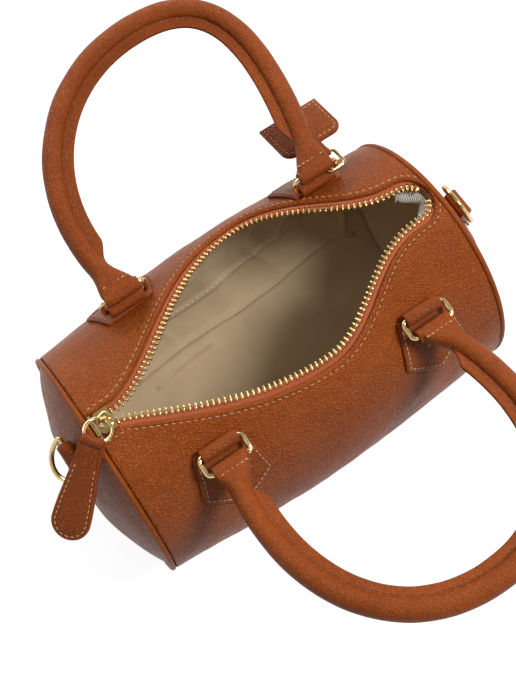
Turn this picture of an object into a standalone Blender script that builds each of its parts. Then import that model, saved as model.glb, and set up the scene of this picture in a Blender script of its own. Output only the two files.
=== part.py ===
"""Small barrel handbag in leather, zip open, with two rolled handles on wire rings.

Metres, +Z up. X runs along the bag, -Y is the front, and the base stands on z = 0.
"""

import math

import bmesh
import bpy
from mathutils import Matrix, Vector

# Body shell
BODY_LENGTH = 0.205
END_RADIUS = 0.0635
FRONT_BULGE = 0.0068
REAR_BULGE = 0.0090
REAR_LEFT_GROWTH = -0.0012
REAR_RIGHT_GROWTH = 0.0033
BASE_HALF_WIDTH = 0.030
LEATHER = 0.0015
LINING = 0.0006
SEAT = 0.0003
LAYER_GAP = 0.0009
CLOTH_GAP = 0.0010
POCKET_GAP = 0.0019
DOME_RISE = 0.014
DOME_POWER = 3
PIPING_RADIUS = 0.0015
PIPING_PROUD = 0.0006
BOARD_THICKNESS = 0.0020
BOARD_HALF_WIDTH = 0.0245
BOARD_END_MARGIN = 0.0060
BOARD_CORNER = 0.0060

# Open mouth, as angles from the top of the barrel
FRONT_SWEEP = math.radians(26.0)
REAR_SWEEP = math.radians(39.0)
FRONT_END_ANGLE = math.radians(1.5)
REAR_END_ANGLE = math.radians(17.0)
MOUTH_PEAK_X = 0.012
MOUTH_LEFT_MARGIN = 0.0157
MOUTH_LEFT_X = MOUTH_LEFT_MARGIN - BODY_LENGTH / 2
FRONT_RIGHT_MARGIN = 0.0125
FRONT_RIGHT_X = BODY_LENGTH / 2 - FRONT_RIGHT_MARGIN
REAR_RIGHT_MARGIN = 0.0085
REAR_RIGHT_X = BODY_LENGTH / 2 - REAR_RIGHT_MARGIN
FRONT_POWERS = (1.0, 2.5)
REAR_POWERS = (1.5, 2.6)
CLOSE_MARGIN = 0.0130
CLOSE_X = BODY_LENGTH / 2 - CLOSE_MARGIN
ROW_CLOSE_REACH = 0.0095
TAPE_CLOSE_REACH = 0.0110
LEATHER_CLOSE_REACH = 0.0104

# Zip
TOOTH_PITCH = 0.0028
TOOTH_HALF_LENGTH = 0.00062
TOOTH_RAMP = 0.00013
TOOTH_NOSE_HALF_LENGTH = 0.00038
TOOTH_NOSE = 0.0026
TOOTH_HEEL = 0.0012
TOOTH_HALF_HEIGHT = 0.00125
BEAD_FRONT = 0.0006
BEAD_BACK = 0.0011
BEAD_HALF_HEIGHT = 0.0009
TAPE = 0.0005
TAPE_WIDTH = 0.0115
TAPE_END = 0.0015
ROW_SPREAD = 0.0036
ROW_END_MARGIN = 0.0040
MOUTH_LEATHER_GAP = 0.0030
LINING_EDGE_GAP = 0.0080
STOP_LENGTH = 0.0014
SLIDER_LENGTH = 0.0082
SLIDER_PLATE = 0.0010
SLIDER_CLEARANCE = 0.00035
SLIDER_LIP = 0.0007
SLIDER_POST_LENGTH = 0.0034
SLIDER_POST_HALF_WIDTH = 0.0006
SLIDER_TAPER = 0.0016
SLIDER_REST_GAP = 0.0006
BAIL_RADIUS = 0.0007
BAIL_RISE = 0.0044
BAIL_LENGTH = 0.0056
PULL_RING_RADIUS = 0.0064
PULL_RING_WIRE = 0.0009
PULL_RING_TILT = math.radians(18.0)
PULLER_LENGTH = 0.051
PULLER_TOP_WIDTH = 0.0125
PULLER_WIDTH = 0.019
PULLER_THICKNESS = 0.0028
PULLER_EYE = 0.0024
PULLER_EYE_WIDTH = 0.0062
PULLER_DROP = math.radians(36.0)
PULLER_YAW = math.radians(35.0)
TAB_WIDTH = 0.0110
TAB_DEPTH = 0.0150
TAB_THICKNESS = 0.0008

# Lining pocket on the back wall
POCKET_END_MARGIN = 0.0405
POCKET_HALF_LENGTH = BODY_LENGTH / 2 - POCKET_END_MARGIN
POCKET_TOP = math.radians(66.0)
POCKET_BOTTOM = math.radians(106.0)
POCKET_CLOTH = 0.0005

# Handle attachments
FRONT_FEET_MARGINS = (0.0460, 0.0415)
FRONT_FEET_X = (FRONT_FEET_MARGINS[0] - BODY_LENGTH / 2, BODY_LENGTH / 2 - FRONT_FEET_MARGINS[1])
REAR_FEET_MARGINS = (0.0500, 0.0415)
REAR_FEET_X = (REAR_FEET_MARGINS[0] - BODY_LENGTH / 2, BODY_LENGTH / 2 - REAR_FEET_MARGINS[1])
FRONT_LOOP_ANGLE = math.radians(32.5)
REAR_LOOP_ANGLE = math.radians(39.5)
EYE_WALL = 0.0022
EYE_GAP = 0.00025
LOOP_WIDTH = 0.020
PATCH_TOP_WIDTH = 0.027
PATCH_WIDTH = 0.039
PATCH_SIDE = 0.023
PATCH_DROP = 0.036
RING_WIRE = 0.0013
RING_LENGTH = 0.0240
RING_SPAN = 0.0095
RING_CORNER = 0.0026
FRONT_RING_TILT = math.radians(97.0)
REAR_RING_TILT = math.radians(12.0)

# Handles
HANDLE_RADIUS = 0.0053
HANDLE_WALL = 0.0013
FLANGE_HEIGHT = 0.0050
FLANGE_THICKNESS = 0.0024
FLANGE_RUN_OUT = 0.012
FRONT_HANDLE_HEIGHT = 0.120
REAR_HANDLE_HEIGHT = 0.1145
HANDLE_SPLAY = math.radians(16.4)
HANDLE_LEG_PULL = 0.064
HANDLE_TOP_PULL = 0.056
FRONT_APEX_SHIFT = 0.001
REAR_APEX_SHIFT = 0.023
FRONT_HANDLE_TILT = math.radians(70.0)
REAR_HANDLE_TILT = math.radians(83.0)
TONGUE_LENGTH = 0.016
TONGUE_WIDTH = 0.019

# End rings
D_TAB_HEIGHT = 0.044
D_TAB_LENGTH = 0.020
D_TAB_WIDTH = 0.014
D_RING_WIDTH = 0.022
D_RING_DEPTH = 0.013
D_RING_WIRE = 0.0013
LEFT_D_RING_TILT = math.radians(130.0)
RIGHT_D_RING_TILT = math.radians(-20.0)

# Hanging tag
LINK_WIRE = 0.0009
LINK_LENGTH = 0.0110
LINK_WIDTH = 0.0096
LINK_CORNER = 0.0020
LINK_DROP = math.radians(12.0)
TAG_WIDTH = 0.035
TAG_LENGTH = 0.026
TAG_THICKNESS = 0.0026
TAG_CORNER = 0.0060
TAG_STRAP_WIDTH = 0.0052
TAG_STRAP_LENGTH = 0.0085
TAG_EYE = 0.0020
TAG_DROP = math.radians(17.0)

# How finely the forms are divided
PANEL_STATIONS = 18
PANEL_ROWS = 12
LINING_STATIONS = 13
LINING_ROWS = 21
TAPE_STATIONS = 28
ROW_STEPS = 400
POCKET_STATIONS = 9
POCKET_ROWS = 6
END_SECTORS = 26
PIPING_SECTORS = 38
PATCH_ROWS = 6
END_RINGS = 4
COVER_STATIONS = 15
COVER_SIDES = 10
CORE_SIDES = 6
EYE_SIDES = 12
RING_SIDES = 16
BAIL_STEPS = 8
BAIL_SIDES = 6
TIP_STEPS = 8
ARCH_STEPS = 60
CORNER_STEPS = 3
D_RING_STEPS = 12
D_TAB_ROWS = 5
TAG_CORNER_STEPS = 4
SHARP_ANGLE = math.radians(35.0)
SLOPE_STEP_SHARE = 0.001
CUT_OVERRUN = 0.002

# Shares of a length along a form
PATCH_COLUMN_SHARES = (-1, -0.5, 0, 0.5, 1)
TONGUE_SHARES = (-0.02, 0.3, 0.55, 0.8, 1)
TONGUE_SQUARE_SHARE = 0.35
END_TAB_SHARES = ((0, 0), (0.45, 0.1), (0.75, 0.45), (0.7, 1))
D_BAR_SHARES = (-1, -0.5, 0, 0.5, 1)
CLOSING_SHARES = (0, 0.4, 0.7, 0.9, 1)
BORE_SHARES = (-1, -0.6, 0, 0.6, 1)

# Worked out from the sizes above
AXIS_HEIGHT = math.sqrt(END_RADIUS**2 - BASE_HALF_WIDTH**2)
BASE_EDGE_ANGLE = math.pi - math.asin(BASE_HALF_WIDTH / END_RADIUS)
TAPE_DEPTH = LEATHER + LAYER_GAP
ROW_DEPTH = TAPE_DEPTH + TAPE / 2
LINING_DEPTH = TAPE_DEPTH + TAPE + LAYER_GAP
WALL_DEPTH = LINING_DEPTH + LINING
PANEL_HALF_LENGTH = BODY_LENGTH / 2 - PIPING_RADIUS - SEAT
LINING_HALF_LENGTH = PANEL_HALF_LENGTH - SEAT
BOARD_LEVEL = LEATHER + SEAT
LINING_LEVEL = BOARD_LEVEL + BOARD_THICKNESS + LAYER_GAP
ROW_HALF_LENGTH = BODY_LENGTH / 2 - ROW_END_MARGIN
EYE_BORE = RING_WIRE + EYE_GAP
EYE_RADIUS = EYE_BORE + EYE_WALL
LOOP_STANDOFF = EYE_RADIUS + SEAT
UP = Vector((0, 0, 1))
ALONG = Vector((1, 0, 0))

COLLECTION = "leather_handbag"
CUTTERS = "cutters"


def clear_scene():
    for obj in list(bpy.data.objects):
        bpy.data.objects.remove(obj, do_unlink=True)
    for name in (COLLECTION, CUTTERS):
        bpy.context.scene.collection.children.link(bpy.data.collections.new(name))


def material(name, colour, roughness, metallic=0):
    made = bpy.data.materials.new(name)
    made.use_nodes = True
    shader = made.node_tree.nodes["Principled BSDF"]
    shader.inputs["Base Color"].default_value = (*colour, 1)
    shader.inputs["Roughness"].default_value = roughness
    shader.inputs["Metallic"].default_value = metallic
    return made


def place(name, data, look, collection=COLLECTION):
    obj = bpy.data.objects.new(name, data)
    bpy.data.collections[collection].objects.link(obj)
    if look:
        data.materials.append(look)
    return obj


def mesh_object(name, bm, look, collection=COLLECTION):
    bmesh.ops.recalc_face_normals(bm, faces=bm.faces)
    mesh = bpy.data.meshes.new(name)
    bm.to_mesh(mesh)
    bm.free()
    mesh.shade_smooth()
    mesh.set_sharp_from_angle(angle=SHARP_ANGLE)
    return place(name, mesh, look, collection)


def hide_cutter(obj):
    obj.hide_render = True
    obj.display_type = "WIRE"
    return obj


def shell(name, rows, thickness, look, outward):
    """An open grid of points, thickened away from the side that outward points to."""
    bm = bmesh.new()
    grid = [[bm.verts.new(point) for point in row] for row in rows]
    for first, second in zip(grid, grid[1:]):
        for j in range(len(first) - 1):
            bm.faces.new((first[j], first[j + 1], second[j + 1], second[j]))
    bm.normal_update()
    lean = sum(face.normal.dot(outward(face.calc_center_median())) for face in bm.faces)
    if lean < 0:
        bmesh.ops.reverse_faces(bm, faces=bm.faces)
    mesh = bpy.data.meshes.new(name)
    bm.to_mesh(mesh)
    bm.free()
    mesh.shade_smooth()
    obj = place(name, mesh, look)
    solid = obj.modifiers.new("thickness", "SOLIDIFY")
    solid.thickness = thickness
    solid.offset = -1
    solid.use_even_offset = True
    return obj


def loft(bm, sections, bores=None):
    """Joins closed sections of equal count. With bores it is a tube that is open at both ends."""
    rings = [[bm.verts.new(point) for point in section] for section in sections]
    count = len(rings[0])

    def skin_between(first, second):
        for j in range(count):
            k = (j + 1) % count
            bm.faces.new((first[j], first[k], second[k], second[j]))

    for first, second in zip(rings, rings[1:]):
        skin_between(first, second)
    if bores is None:
        bm.faces.new(reversed(rings[0]))
        bm.faces.new(rings[-1])
        return
    inner = [[bm.verts.new(point) for point in section] for section in bores]
    for first, second in zip(inner, inner[1:]):
        skin_between(second, first)
    skin_between(inner[0], rings[0])
    skin_between(rings[-1], inner[-1])


def tube(name, points, radius, look, cyclic=False, resolution=2):
    curve = bpy.data.curves.new(name, "CURVE")
    curve.dimensions = "3D"
    curve.bevel_depth = radius
    curve.bevel_resolution = resolution
    curve.use_fill_caps = not cyclic
    spline = curve.splines.new("POLY")
    spline.points.add(len(points) - 1)
    for target, point in zip(spline.points, points):
        target.co = (*point, 1)
    spline.use_cyclic_u = cyclic
    return place(name, curve, look)


def bar(name, centre, axis, length, radius, look=None, collection=CUTTERS, sides=EYE_SIDES):
    """A closed cylinder about an axis through centre."""
    bm = bmesh.new()
    turn = axis.to_track_quat("Z", "Y").to_matrix().to_4x4()
    bmesh.ops.create_cone(bm, cap_ends=True, segments=sides, radius1=radius, radius2=radius,
                          depth=length, matrix=Matrix.Translation(centre) @ turn)
    return mesh_object(name, bm, look, collection)


def combine(obj, other, operation):
    step = obj.modifiers.new(operation.lower(), "BOOLEAN")
    step.operation = operation
    step.object = hide_cutter(other)


def smooth_step(value):
    value = min(max(value, 0), 1)
    return value * value * (3 - 2 * value)


# Barrel surface and mouth


def side_radius(side, x):
    """The barrel's half width. It bellies out, and the back grows from the left end to the right."""
    share = min(max(x / BODY_LENGTH + 1 / 2, 0), 1)
    belly = math.sin(math.pi * share)
    if side < 0:
        return END_RADIUS + FRONT_BULGE * belly
    return END_RADIUS + REAR_BULGE * belly + REAR_LEFT_GROWTH * (1 - share) + REAR_RIGHT_GROWTH * share


def skin(x, angle, depth=0):
    """The barrel surface at an angle from the top, positive to the back, sunk by depth."""
    half_width = side_radius(math.sin(angle), x) - depth
    height = (END_RADIUS - depth) * math.cos(angle)
    return Vector((x, half_width * math.sin(angle), AXIS_HEIGHT + height))


def skin_normal(x, angle):
    return Vector((0, math.sin(angle), math.cos(angle)))


def swell(x, right_x, powers):
    """How far the mouth is pulled open, from 0 at its ends to 1 at its widest."""
    if x < MOUTH_PEAK_X:
        share, power = (MOUTH_PEAK_X - x) / (MOUTH_PEAK_X - MOUTH_LEFT_X), powers[0]
    else:
        share, power = (x - MOUTH_PEAK_X) / (right_x - MOUTH_PEAK_X), powers[1]
    return math.cos(math.pi / 2 * min(share, 1)) ** power


def open_angle(side, x):
    """The angle of a row of teeth before its far end curls in. side is -1 at the front and 1 at the back."""
    near = ROW_SPREAD / END_RADIUS
    far = FRONT_END_ANGLE if side < 0 else REAR_END_ANGLE
    drift = smooth_step((x - MOUTH_LEFT_X) / (BODY_LENGTH / 2 - MOUTH_LEFT_X))
    if side < 0:
        opened = FRONT_SWEEP * swell(x, FRONT_RIGHT_X, FRONT_POWERS)
    else:
        opened = REAR_SWEEP * swell(x, REAR_RIGHT_X, REAR_POWERS)
    return side * (near + (far - near) * drift + opened)


def offset_angle(side, x, distance):
    """The angle of a line that keeps its distance from a row, square to the row."""
    step = BODY_LENGTH * SLOPE_STEP_SHARE
    slope = END_RADIUS * (open_angle(side, x + step) - open_angle(side, x - step)) / (2 * step)
    return open_angle(side, x) + side * distance / END_RADIUS * math.hypot(1, slope)


def mouth_middle(x):
    return (open_angle(-1, x) + open_angle(1, x)) / 2


def edge_angle(side, x, distance, reach):
    """The angle of an edge beside a row that closes round the far end of the mouth within its reach."""
    share = min(max((x - CLOSE_X) / reach, 0), 1)
    middle = mouth_middle(x)
    return middle + (offset_angle(side, x, distance) - middle) * math.sqrt(1 - share**2)


def row_angle(side, x):
    return edge_angle(side, x, 0, ROW_CLOSE_REACH)


def wall_edge(side, x):
    """The angle of a leather wall's edge. Past the mouth the two edges meet with a gap."""
    closed = mouth_middle(x) + side * SEAT / END_RADIUS
    opened = edge_angle(side, x, MOUTH_LEATHER_GAP, LEATHER_CLOSE_REACH)
    return side * max(side * opened, side * closed)


def stations(half_length, count):
    return [half_length * (2 * i / (count - 1) - 1) for i in range(count)]


def closing_stations(half_length, count, reach, end):
    """Even stations up to where the mouth starts to close, and closer ones from there."""
    step = (CLOSE_X + half_length) / (count - 1)
    return [i * step - half_length for i in range(count - 1)] + [
        CLOSE_X + reach * share for share in CLOSING_SHARES if CLOSE_X + reach * share < end] + [end]


def away_from_axis(point):
    return Vector((0, point.y, point.z - AXIS_HEIGHT))


def wall_panel(name, side, look):
    rows = []
    for x in closing_stations(PANEL_HALF_LENGTH, PANEL_STATIONS, LEATHER_CLOSE_REACH, PANEL_HALF_LENGTH):
        start = wall_edge(side, x)
        share = (side * BASE_EDGE_ANGLE - start) / (PANEL_ROWS - 1)
        steps = [start + share * j for j in range(PANEL_ROWS)]
        rows.append([skin(x, angle) for angle in steps])
    return shell(name, rows, LEATHER, look, away_from_axis)


def base_panel(look):
    edges = []
    for x in stations(PANEL_HALF_LENGTH, PANEL_STATIONS):
        reaches = [side * (abs(skin(x, side * BASE_EDGE_ANGLE).y) - LEATHER - SEAT) for side in (-1, 1)]
        edges.append([Vector((x, reach, 0)) for reach in reaches])
    return shell("base_panel", edges, LEATHER, look, lambda point: -UP)


def rounded_outline(half_x, half_y, corner):
    points = []
    for quarter, (sx, sy) in enumerate(((1, 1), (-1, 1), (-1, -1), (1, -1))):
        for i in range(CORNER_STEPS):
            turn = math.pi / 2 * (quarter + i / (CORNER_STEPS - 1))
            points.append((sx * (half_x - corner) + corner * math.cos(turn),
                           sy * (half_y - corner) + corner * math.sin(turn)))
    return points


def base_board(look):
    outline = rounded_outline(BODY_LENGTH / 2 - BOARD_END_MARGIN, BOARD_HALF_WIDTH, BOARD_CORNER)
    bm = bmesh.new()
    loft(bm, [[Vector((x, y, z)) for x, y in outline] for z in (BOARD_LEVEL, BOARD_LEVEL + BOARD_THICKNESS)])
    return mesh_object("base_board", bm, look)


def end_outline(x, radius_margin, base_margin, count=END_SECTORS):
    """The D-shaped outline of an end, as offsets from the barrel axis, flat along the base."""
    points = []
    for i in range(count):
        angle = math.tau * i / count
        reach = END_RADIUS - radius_margin
        stretch = (side_radius(math.sin(angle), x) - radius_margin) / reach
        if math.cos(angle) < 0:
            reach = min(reach, (base_margin - AXIS_HEIGHT) / math.cos(angle))
        points.append(Vector((0, reach * stretch * math.sin(angle), reach * math.cos(angle))))
    return points


def domed_end(name, side, look, rim_x, rise, thickness, radius_margin, base_margin):
    """A disc that domes outward from its rim, thickened inward."""
    outline = end_outline(side * rim_x, radius_margin, base_margin)
    bm = bmesh.new()
    centre = Vector((0, 0, AXIS_HEIGHT))
    rings = []
    for k in range(1, END_RINGS + 1):
        share = k / END_RINGS
        x = side * (rim_x + rise * (1 - share**DOME_POWER))
        rings.append([bm.verts.new(centre + point * share + ALONG * x) for point in outline])
    middle = bm.verts.new(centre + ALONG * side * (rim_x + rise))
    for j in range(len(outline)):
        k = (j + 1) % len(outline)
        bm.faces.new((middle, rings[0][j], rings[0][k]))
        for first, second in zip(rings, rings[1:]):
            bm.faces.new((first[j], second[j], second[k], first[k]))
    bm.normal_update()
    if sum(face.normal.x for face in bm.faces) * side < 0:
        bmesh.ops.reverse_faces(bm, faces=bm.faces)
    mesh = bpy.data.meshes.new(name)
    bm.to_mesh(mesh)
    bm.free()
    mesh.shade_smooth()
    obj = place(name, mesh, look)
    solid = obj.modifiers.new("thickness", "SOLIDIFY")
    solid.thickness = thickness
    solid.offset = -1
    return obj


def piping(name, side, look):
    sunk = PIPING_RADIUS - PIPING_PROUD
    end_x = side * BODY_LENGTH / 2
    outline = end_outline(end_x, sunk, PIPING_RADIUS, PIPING_SECTORS)
    centre = Vector((end_x, 0, AXIS_HEIGHT))
    return tube(name, [centre + point for point in outline], PIPING_RADIUS, look, cyclic=True, resolution=1)


def build_body(leather, lining_cloth, board_look):
    wall_panel("front_panel", -1, leather)
    wall_panel("back_panel", 1, leather)
    base_panel(leather)
    base_board(board_look)
    rim = 2 * PIPING_RADIUS - PIPING_PROUD + SEAT
    base_rim = 2 * PIPING_RADIUS + SEAT
    for word, side in (("left", -1), ("right", 1)):
        domed_end(word + "_end_panel", side, leather, BODY_LENGTH / 2, DOME_RISE, LEATHER, rim, base_rim)
        piping(word + "_piping", side, leather)
        lining_rim_x = BODY_LENGTH / 2 - LEATHER - LAYER_GAP
        domed_end("lining_" + word + "_end", side, lining_cloth, lining_rim_x, DOME_RISE - LAYER_GAP,
                  LINING, WALL_DEPTH + CLOTH_GAP, LINING_LEVEL + LINING + CLOTH_GAP)


def lining(look):
    rows = []
    for x in stations(LINING_HALF_LENGTH, LINING_STATIONS):
        first = offset_angle(-1, x, LINING_EDGE_GAP) + math.tau
        last = offset_angle(1, x, LINING_EDGE_GAP)
        row = []
        for j in range(LINING_ROWS):
            point = skin(x, last + (first - last) * j / (LINING_ROWS - 1), LINING_DEPTH)
            point.z = max(point.z, LINING_LEVEL)
            row.append(point)
        rows.append(row)
    return shell("lining", rows, LINING, look, away_from_axis)


def slip_pocket(look):
    rows = []
    for x in stations(POCKET_HALF_LENGTH, POCKET_STATIONS):
        share = (POCKET_BOTTOM - POCKET_TOP) / (POCKET_ROWS - 1)
        steps = [POCKET_TOP + share * j for j in range(POCKET_ROWS)]
        rows.append([skin(x, angle, WALL_DEPTH + POCKET_GAP) for angle in steps])
    return shell("slip_pocket", rows, POCKET_CLOTH, look, away_from_axis)


# Zip


def zip_tape(name, side, look):
    rows = []
    for x in closing_stations(ROW_HALF_LENGTH, TAPE_STATIONS, TAPE_CLOSE_REACH, ROW_HALF_LENGTH + TAPE_END):
        inner = edge_angle(side, x, TOOTH_HEEL + SEAT, TAPE_CLOSE_REACH)
        outer = offset_angle(side, x, TAPE_WIDTH)
        rows.append([skin(x, angle, TAPE_DEPTH) for angle in (inner, (inner + outer) / 2, outer)])
    return shell(name, rows, TAPE, look, away_from_axis)


def row_path(side):
    """Points along a row of teeth with the distance run to each."""
    path, run, last = [], 0, None
    for x in stations(ROW_HALF_LENGTH, ROW_STEPS):
        point = skin(x, row_angle(side, x), ROW_DEPTH)
        run += (point - last).length if last is not None else 0
        path.append((run, point, x))
        last = point
    return path


def on_path(path, run):
    for first, second in zip(path, path[1:]):
        if run <= second[0]:
            share = (run - first[0]) / (second[0] - first[0])
            return first[1].lerp(second[1], share), (second[1] - first[1]).normalized(), first[2]
    return path[-1][1], (path[-1][1] - path[-2][1]).normalized(), path[-1][2]


def teeth_row(name, side, look):
    """The tape's corded edge with its metal teeth: each tooth steps up from the cord and narrows to its nose."""
    path = row_path(side)
    length = path[-1][0]
    count = int((length - TOOTH_PITCH) / TOOTH_PITCH)
    margin = (length - (count - 1) * TOOTH_PITCH) / 2
    sections = []

    def section(run, front, back, height, nose_shift=0):
        point, direction, x = on_path(path, min(max(run, 0), length))
        normal = skin_normal(x, row_angle(side, x))
        inward = direction.cross(normal).normalized() * side
        nose = direction * nose_shift
        sections.append([point + inward * front + normal * height + nose,
                         point + inward * front - normal * height + nose,
                         point - inward * back - normal * height,
                         point - inward * back + normal * height])

    section(0, BEAD_FRONT, BEAD_BACK, BEAD_HALF_HEIGHT)
    for i in range(count):
        middle = margin + i * TOOTH_PITCH
        root = TOOTH_HALF_LENGTH + TOOTH_RAMP
        narrow = TOOTH_HALF_LENGTH - TOOTH_NOSE_HALF_LENGTH
        section(middle - root, BEAD_FRONT, BEAD_BACK, BEAD_HALF_HEIGHT)
        section(middle - TOOTH_HALF_LENGTH, TOOTH_NOSE, TOOTH_HEEL, TOOTH_HALF_HEIGHT, narrow)
        section(middle + TOOTH_HALF_LENGTH, TOOTH_NOSE, TOOTH_HEEL, TOOTH_HALF_HEIGHT, -narrow)
    section(length, BEAD_FRONT, BEAD_BACK, BEAD_HALF_HEIGHT)
    bm = bmesh.new()
    loft(bm, sections)
    return mesh_object(name, bm, look)


def box(bm, low, high):
    middle = (Vector(low) + Vector(high)) / 2
    size = Vector(high) - Vector(low)
    bmesh.ops.create_cube(bm, size=1, matrix=Matrix.Translation(middle) @ Matrix.Diagonal((*size, 1)))


def box_object(name, low, high, look, collection=COLLECTION):
    bm = bmesh.new()
    box(bm, low, high)
    return mesh_object(name, bm, look, collection)


def slider_start():
    return -ROW_HALF_LENGTH + SLIDER_REST_GAP


def slider_levels():
    """The heights of the row plane and of the slider's inner and outer faces above it."""
    row = AXIS_HEIGHT + END_RADIUS - ROW_DEPTH
    inner = TOOTH_HALF_HEIGHT + SLIDER_CLEARANCE
    return row, inner, inner + SLIDER_PLATE


def bottom_stop(look):
    row, inner, outer = slider_levels()
    reach = ROW_SPREAD + TOOTH_HEEL
    end = -ROW_HALF_LENGTH - SEAT
    low = (end - STOP_LENGTH, -reach, row - TOOTH_HALF_HEIGHT)
    high = (end, reach, row + TOOTH_HALF_HEIGHT)
    return box_object("zip_bottom_stop", low, high, look)


def slider(look):
    """Two plates held apart by a post, with lips that close round the two rows."""
    row, inner, outer = slider_levels()
    start = slider_start()
    channel = ROW_SPREAD + TOOTH_HEEL + SLIDER_CLEARANCE
    half = channel + SLIDER_LIP
    outline = [(start, half - SLIDER_TAPER), (start + SLIDER_TAPER, half), (start + SLIDER_LENGTH, half)]
    outline += [(x, -y) for x, y in reversed(outline)]
    bm = bmesh.new()
    loft(bm, [[Vector((x, y, row + z)) for x, y in outline] for z in (-outer, outer)])
    body = mesh_object("zip_slider", bm, look)
    post_x = start + (SLIDER_LENGTH - SLIDER_POST_LENGTH) / 2
    ends = (start - CUT_OVERRUN, start + SLIDER_LENGTH + CUT_OVERRUN)
    slot = TAPE / 2 + SLIDER_CLEARANCE
    for word, side in (("front", -1), ("rear", 1)):
        near, far = sorted((side * SLIDER_POST_HALF_WIDTH, side * channel))
        combine(body, box_object("slider_channel_" + word, (ends[0], near, row - inner),
                                 (ends[1], far, row + inner), None, CUTTERS), "DIFFERENCE")
        near, far = sorted((side * SLIDER_POST_HALF_WIDTH, side * (half + CUT_OVERRUN)))
        combine(body, box_object("slider_slot_" + word, (ends[0], near, row - slot),
                                 (ends[1], far, row + slot), None, CUTTERS), "DIFFERENCE")
    for word, low, high in (("tail", ends[0], post_x), ("mouth", post_x + SLIDER_POST_LENGTH, ends[1])):
        wide = 2 * SLIDER_POST_HALF_WIDTH
        combine(body, box_object("slider_gap_" + word, (low, -wide, row - inner),
                                 (high, wide, row + inner), None, CUTTERS), "DIFFERENCE")
    middle = start + SLIDER_LENGTH / 2
    foot = row + inner + SLIDER_PLATE / 2
    turns = [math.pi * i / BAIL_STEPS for i in range(BAIL_STEPS + 1)]
    arch = [Vector((middle - BAIL_LENGTH / 2 * math.cos(turn), 0, foot + BAIL_RISE * math.sin(turn))) for turn in turns]
    bail = bail_mesh(arch, look)
    combine(body, bail, "UNION")
    return body


def bail_mesh(arch, look):
    """The bail is swept as a square wire, so that the slider can take it as a union."""
    bm = bmesh.new()
    sections = []
    for i, point in enumerate(arch):
        direction = (arch[min(i + 1, len(arch) - 1)] - arch[max(i - 1, 0)]).normalized()
        side = Vector((0, 1, 0))
        up = direction.cross(side)
        sections.append([point + (side * math.cos(turn) + up * math.sin(turn)) * BAIL_RADIUS
                         for turn in (math.tau * (k + 1 / 2) / BAIL_SIDES for k in range(BAIL_SIDES))])
    loft(bm, sections)
    return mesh_object("slider_bail_form", bm, look, CUTTERS)


def pull_ring_frame():
    """The centre of the pull ring and the two directions of its plane."""
    row, inner, outer = slider_levels()
    hold = Vector((slider_start() + SLIDER_LENGTH / 2, 0, row + inner + SLIDER_PLATE / 2 + BAIL_RISE))
    heading = Vector((-math.cos(PULLER_YAW), -math.sin(PULLER_YAW), 0))
    out = heading * math.cos(PULL_RING_TILT) + UP * math.sin(PULL_RING_TILT)
    across = UP.cross(out).normalized()
    inside = BAIL_RADIUS + PULL_RING_WIRE + SEAT
    hold = hold - UP * inside
    return hold + out * PULL_RING_RADIUS, out, across


def pull_ring(look):
    centre, out, across = pull_ring_frame()
    points = [centre + (out * math.cos(turn) + across * math.sin(turn)) * PULL_RING_RADIUS
              for turn in (math.tau * i / RING_SIDES for i in range(RING_SIDES))]
    return tube("pull_ring", points, PULL_RING_WIRE, look, cyclic=True, resolution=1)


def slab(bm, outline, origin, along, across, thickness):
    """A flat outline given as (along, across) sizes, thickened evenly about its plane."""
    normal = along.cross(across).normalized()
    loft(bm, [[origin + along * a + across * b + normal * offset for a, b in outline]
              for offset in (-thickness / 2, thickness / 2)])


def puller(look):
    """A stitched tongue that folds over the pull ring, widens and ends in a rounded tip."""
    centre, out, across = pull_ring_frame()
    eye = centre + out * PULL_RING_RADIUS
    along = Vector((out.x, out.y, 0)).normalized() * math.cos(PULLER_DROP) - UP * math.sin(PULLER_DROP)
    top, wide = PULLER_TOP_WIDTH / 2, PULLER_WIDTH / 2
    start = PULLER_EYE / 2
    straight = PULLER_LENGTH - wide
    arc = [(straight + wide * math.sin(turn), wide * math.cos(turn))
           for turn in (math.pi * i / TIP_STEPS for i in range(TIP_STEPS + 1))]
    outline = [(start, top), *arc, (start, -top)]
    bm = bmesh.new()
    slab(bm, outline, eye, along, across, PULLER_THICKNESS)
    body = mesh_object("zip_puller", bm, look)
    combine(body, bar("puller_eye_form", eye, across, PULLER_EYE_WIDTH, PULLER_EYE, look), "UNION")
    combine(body, flared_bore(eye, across, out), "DIFFERENCE")
    return body


def flared_bore(eye, across, out):
    """The puller's bore widens to both sides, so that the bent ring can turn in it."""
    reach = PULLER_EYE_WIDTH / 2 + SEAT
    normal = across.cross(out)
    sections = []
    for share in BORE_SHARES:
        along = reach * share
        radius = PULL_RING_RADIUS - math.sqrt(PULL_RING_RADIUS**2 - along**2) + PULL_RING_WIRE + EYE_GAP
        sections.append([eye + across * along + (out * math.cos(turn) + normal * math.sin(turn)) * radius
                         for turn in (math.tau * k / TIP_STEPS for k in range(TIP_STEPS))])
    bm = bmesh.new()
    loft(bm, sections)
    return mesh_object("puller_bore", bm, None, CUTTERS)


def end_tab(look):
    """Folded tape that closes the far end of the zip, hanging inside the mouth."""
    middle = mouth_middle(ROW_HALF_LENGTH)
    top = skin(ROW_HALF_LENGTH - TAPE_WIDTH / 4, middle, WALL_DEPTH + LAYER_GAP)
    rows = []
    for share, drop in END_TAB_SHARES:
        x = top.x - TAB_WIDTH / 2 * share
        rows.append([Vector((x, top.y + TAB_WIDTH * side / 2, top.z - TAB_DEPTH * drop)) for side in (-1, 0, 1)])
    return shell("zip_end_tab", rows, TAB_THICKNESS, look, lambda point: UP)


def build_zip(tape_look, teeth_look, metal, leather, tab_look):
    for word, side in (("front", -1), ("rear", 1)):
        zip_tape(word + "_zip_tape", side, tape_look)
        teeth_row(word + "_zip_teeth", side, teeth_look)
    bottom_stop(metal)
    slider(metal)
    pull_ring(metal)
    puller(leather)
    end_tab(tab_look)


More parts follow.
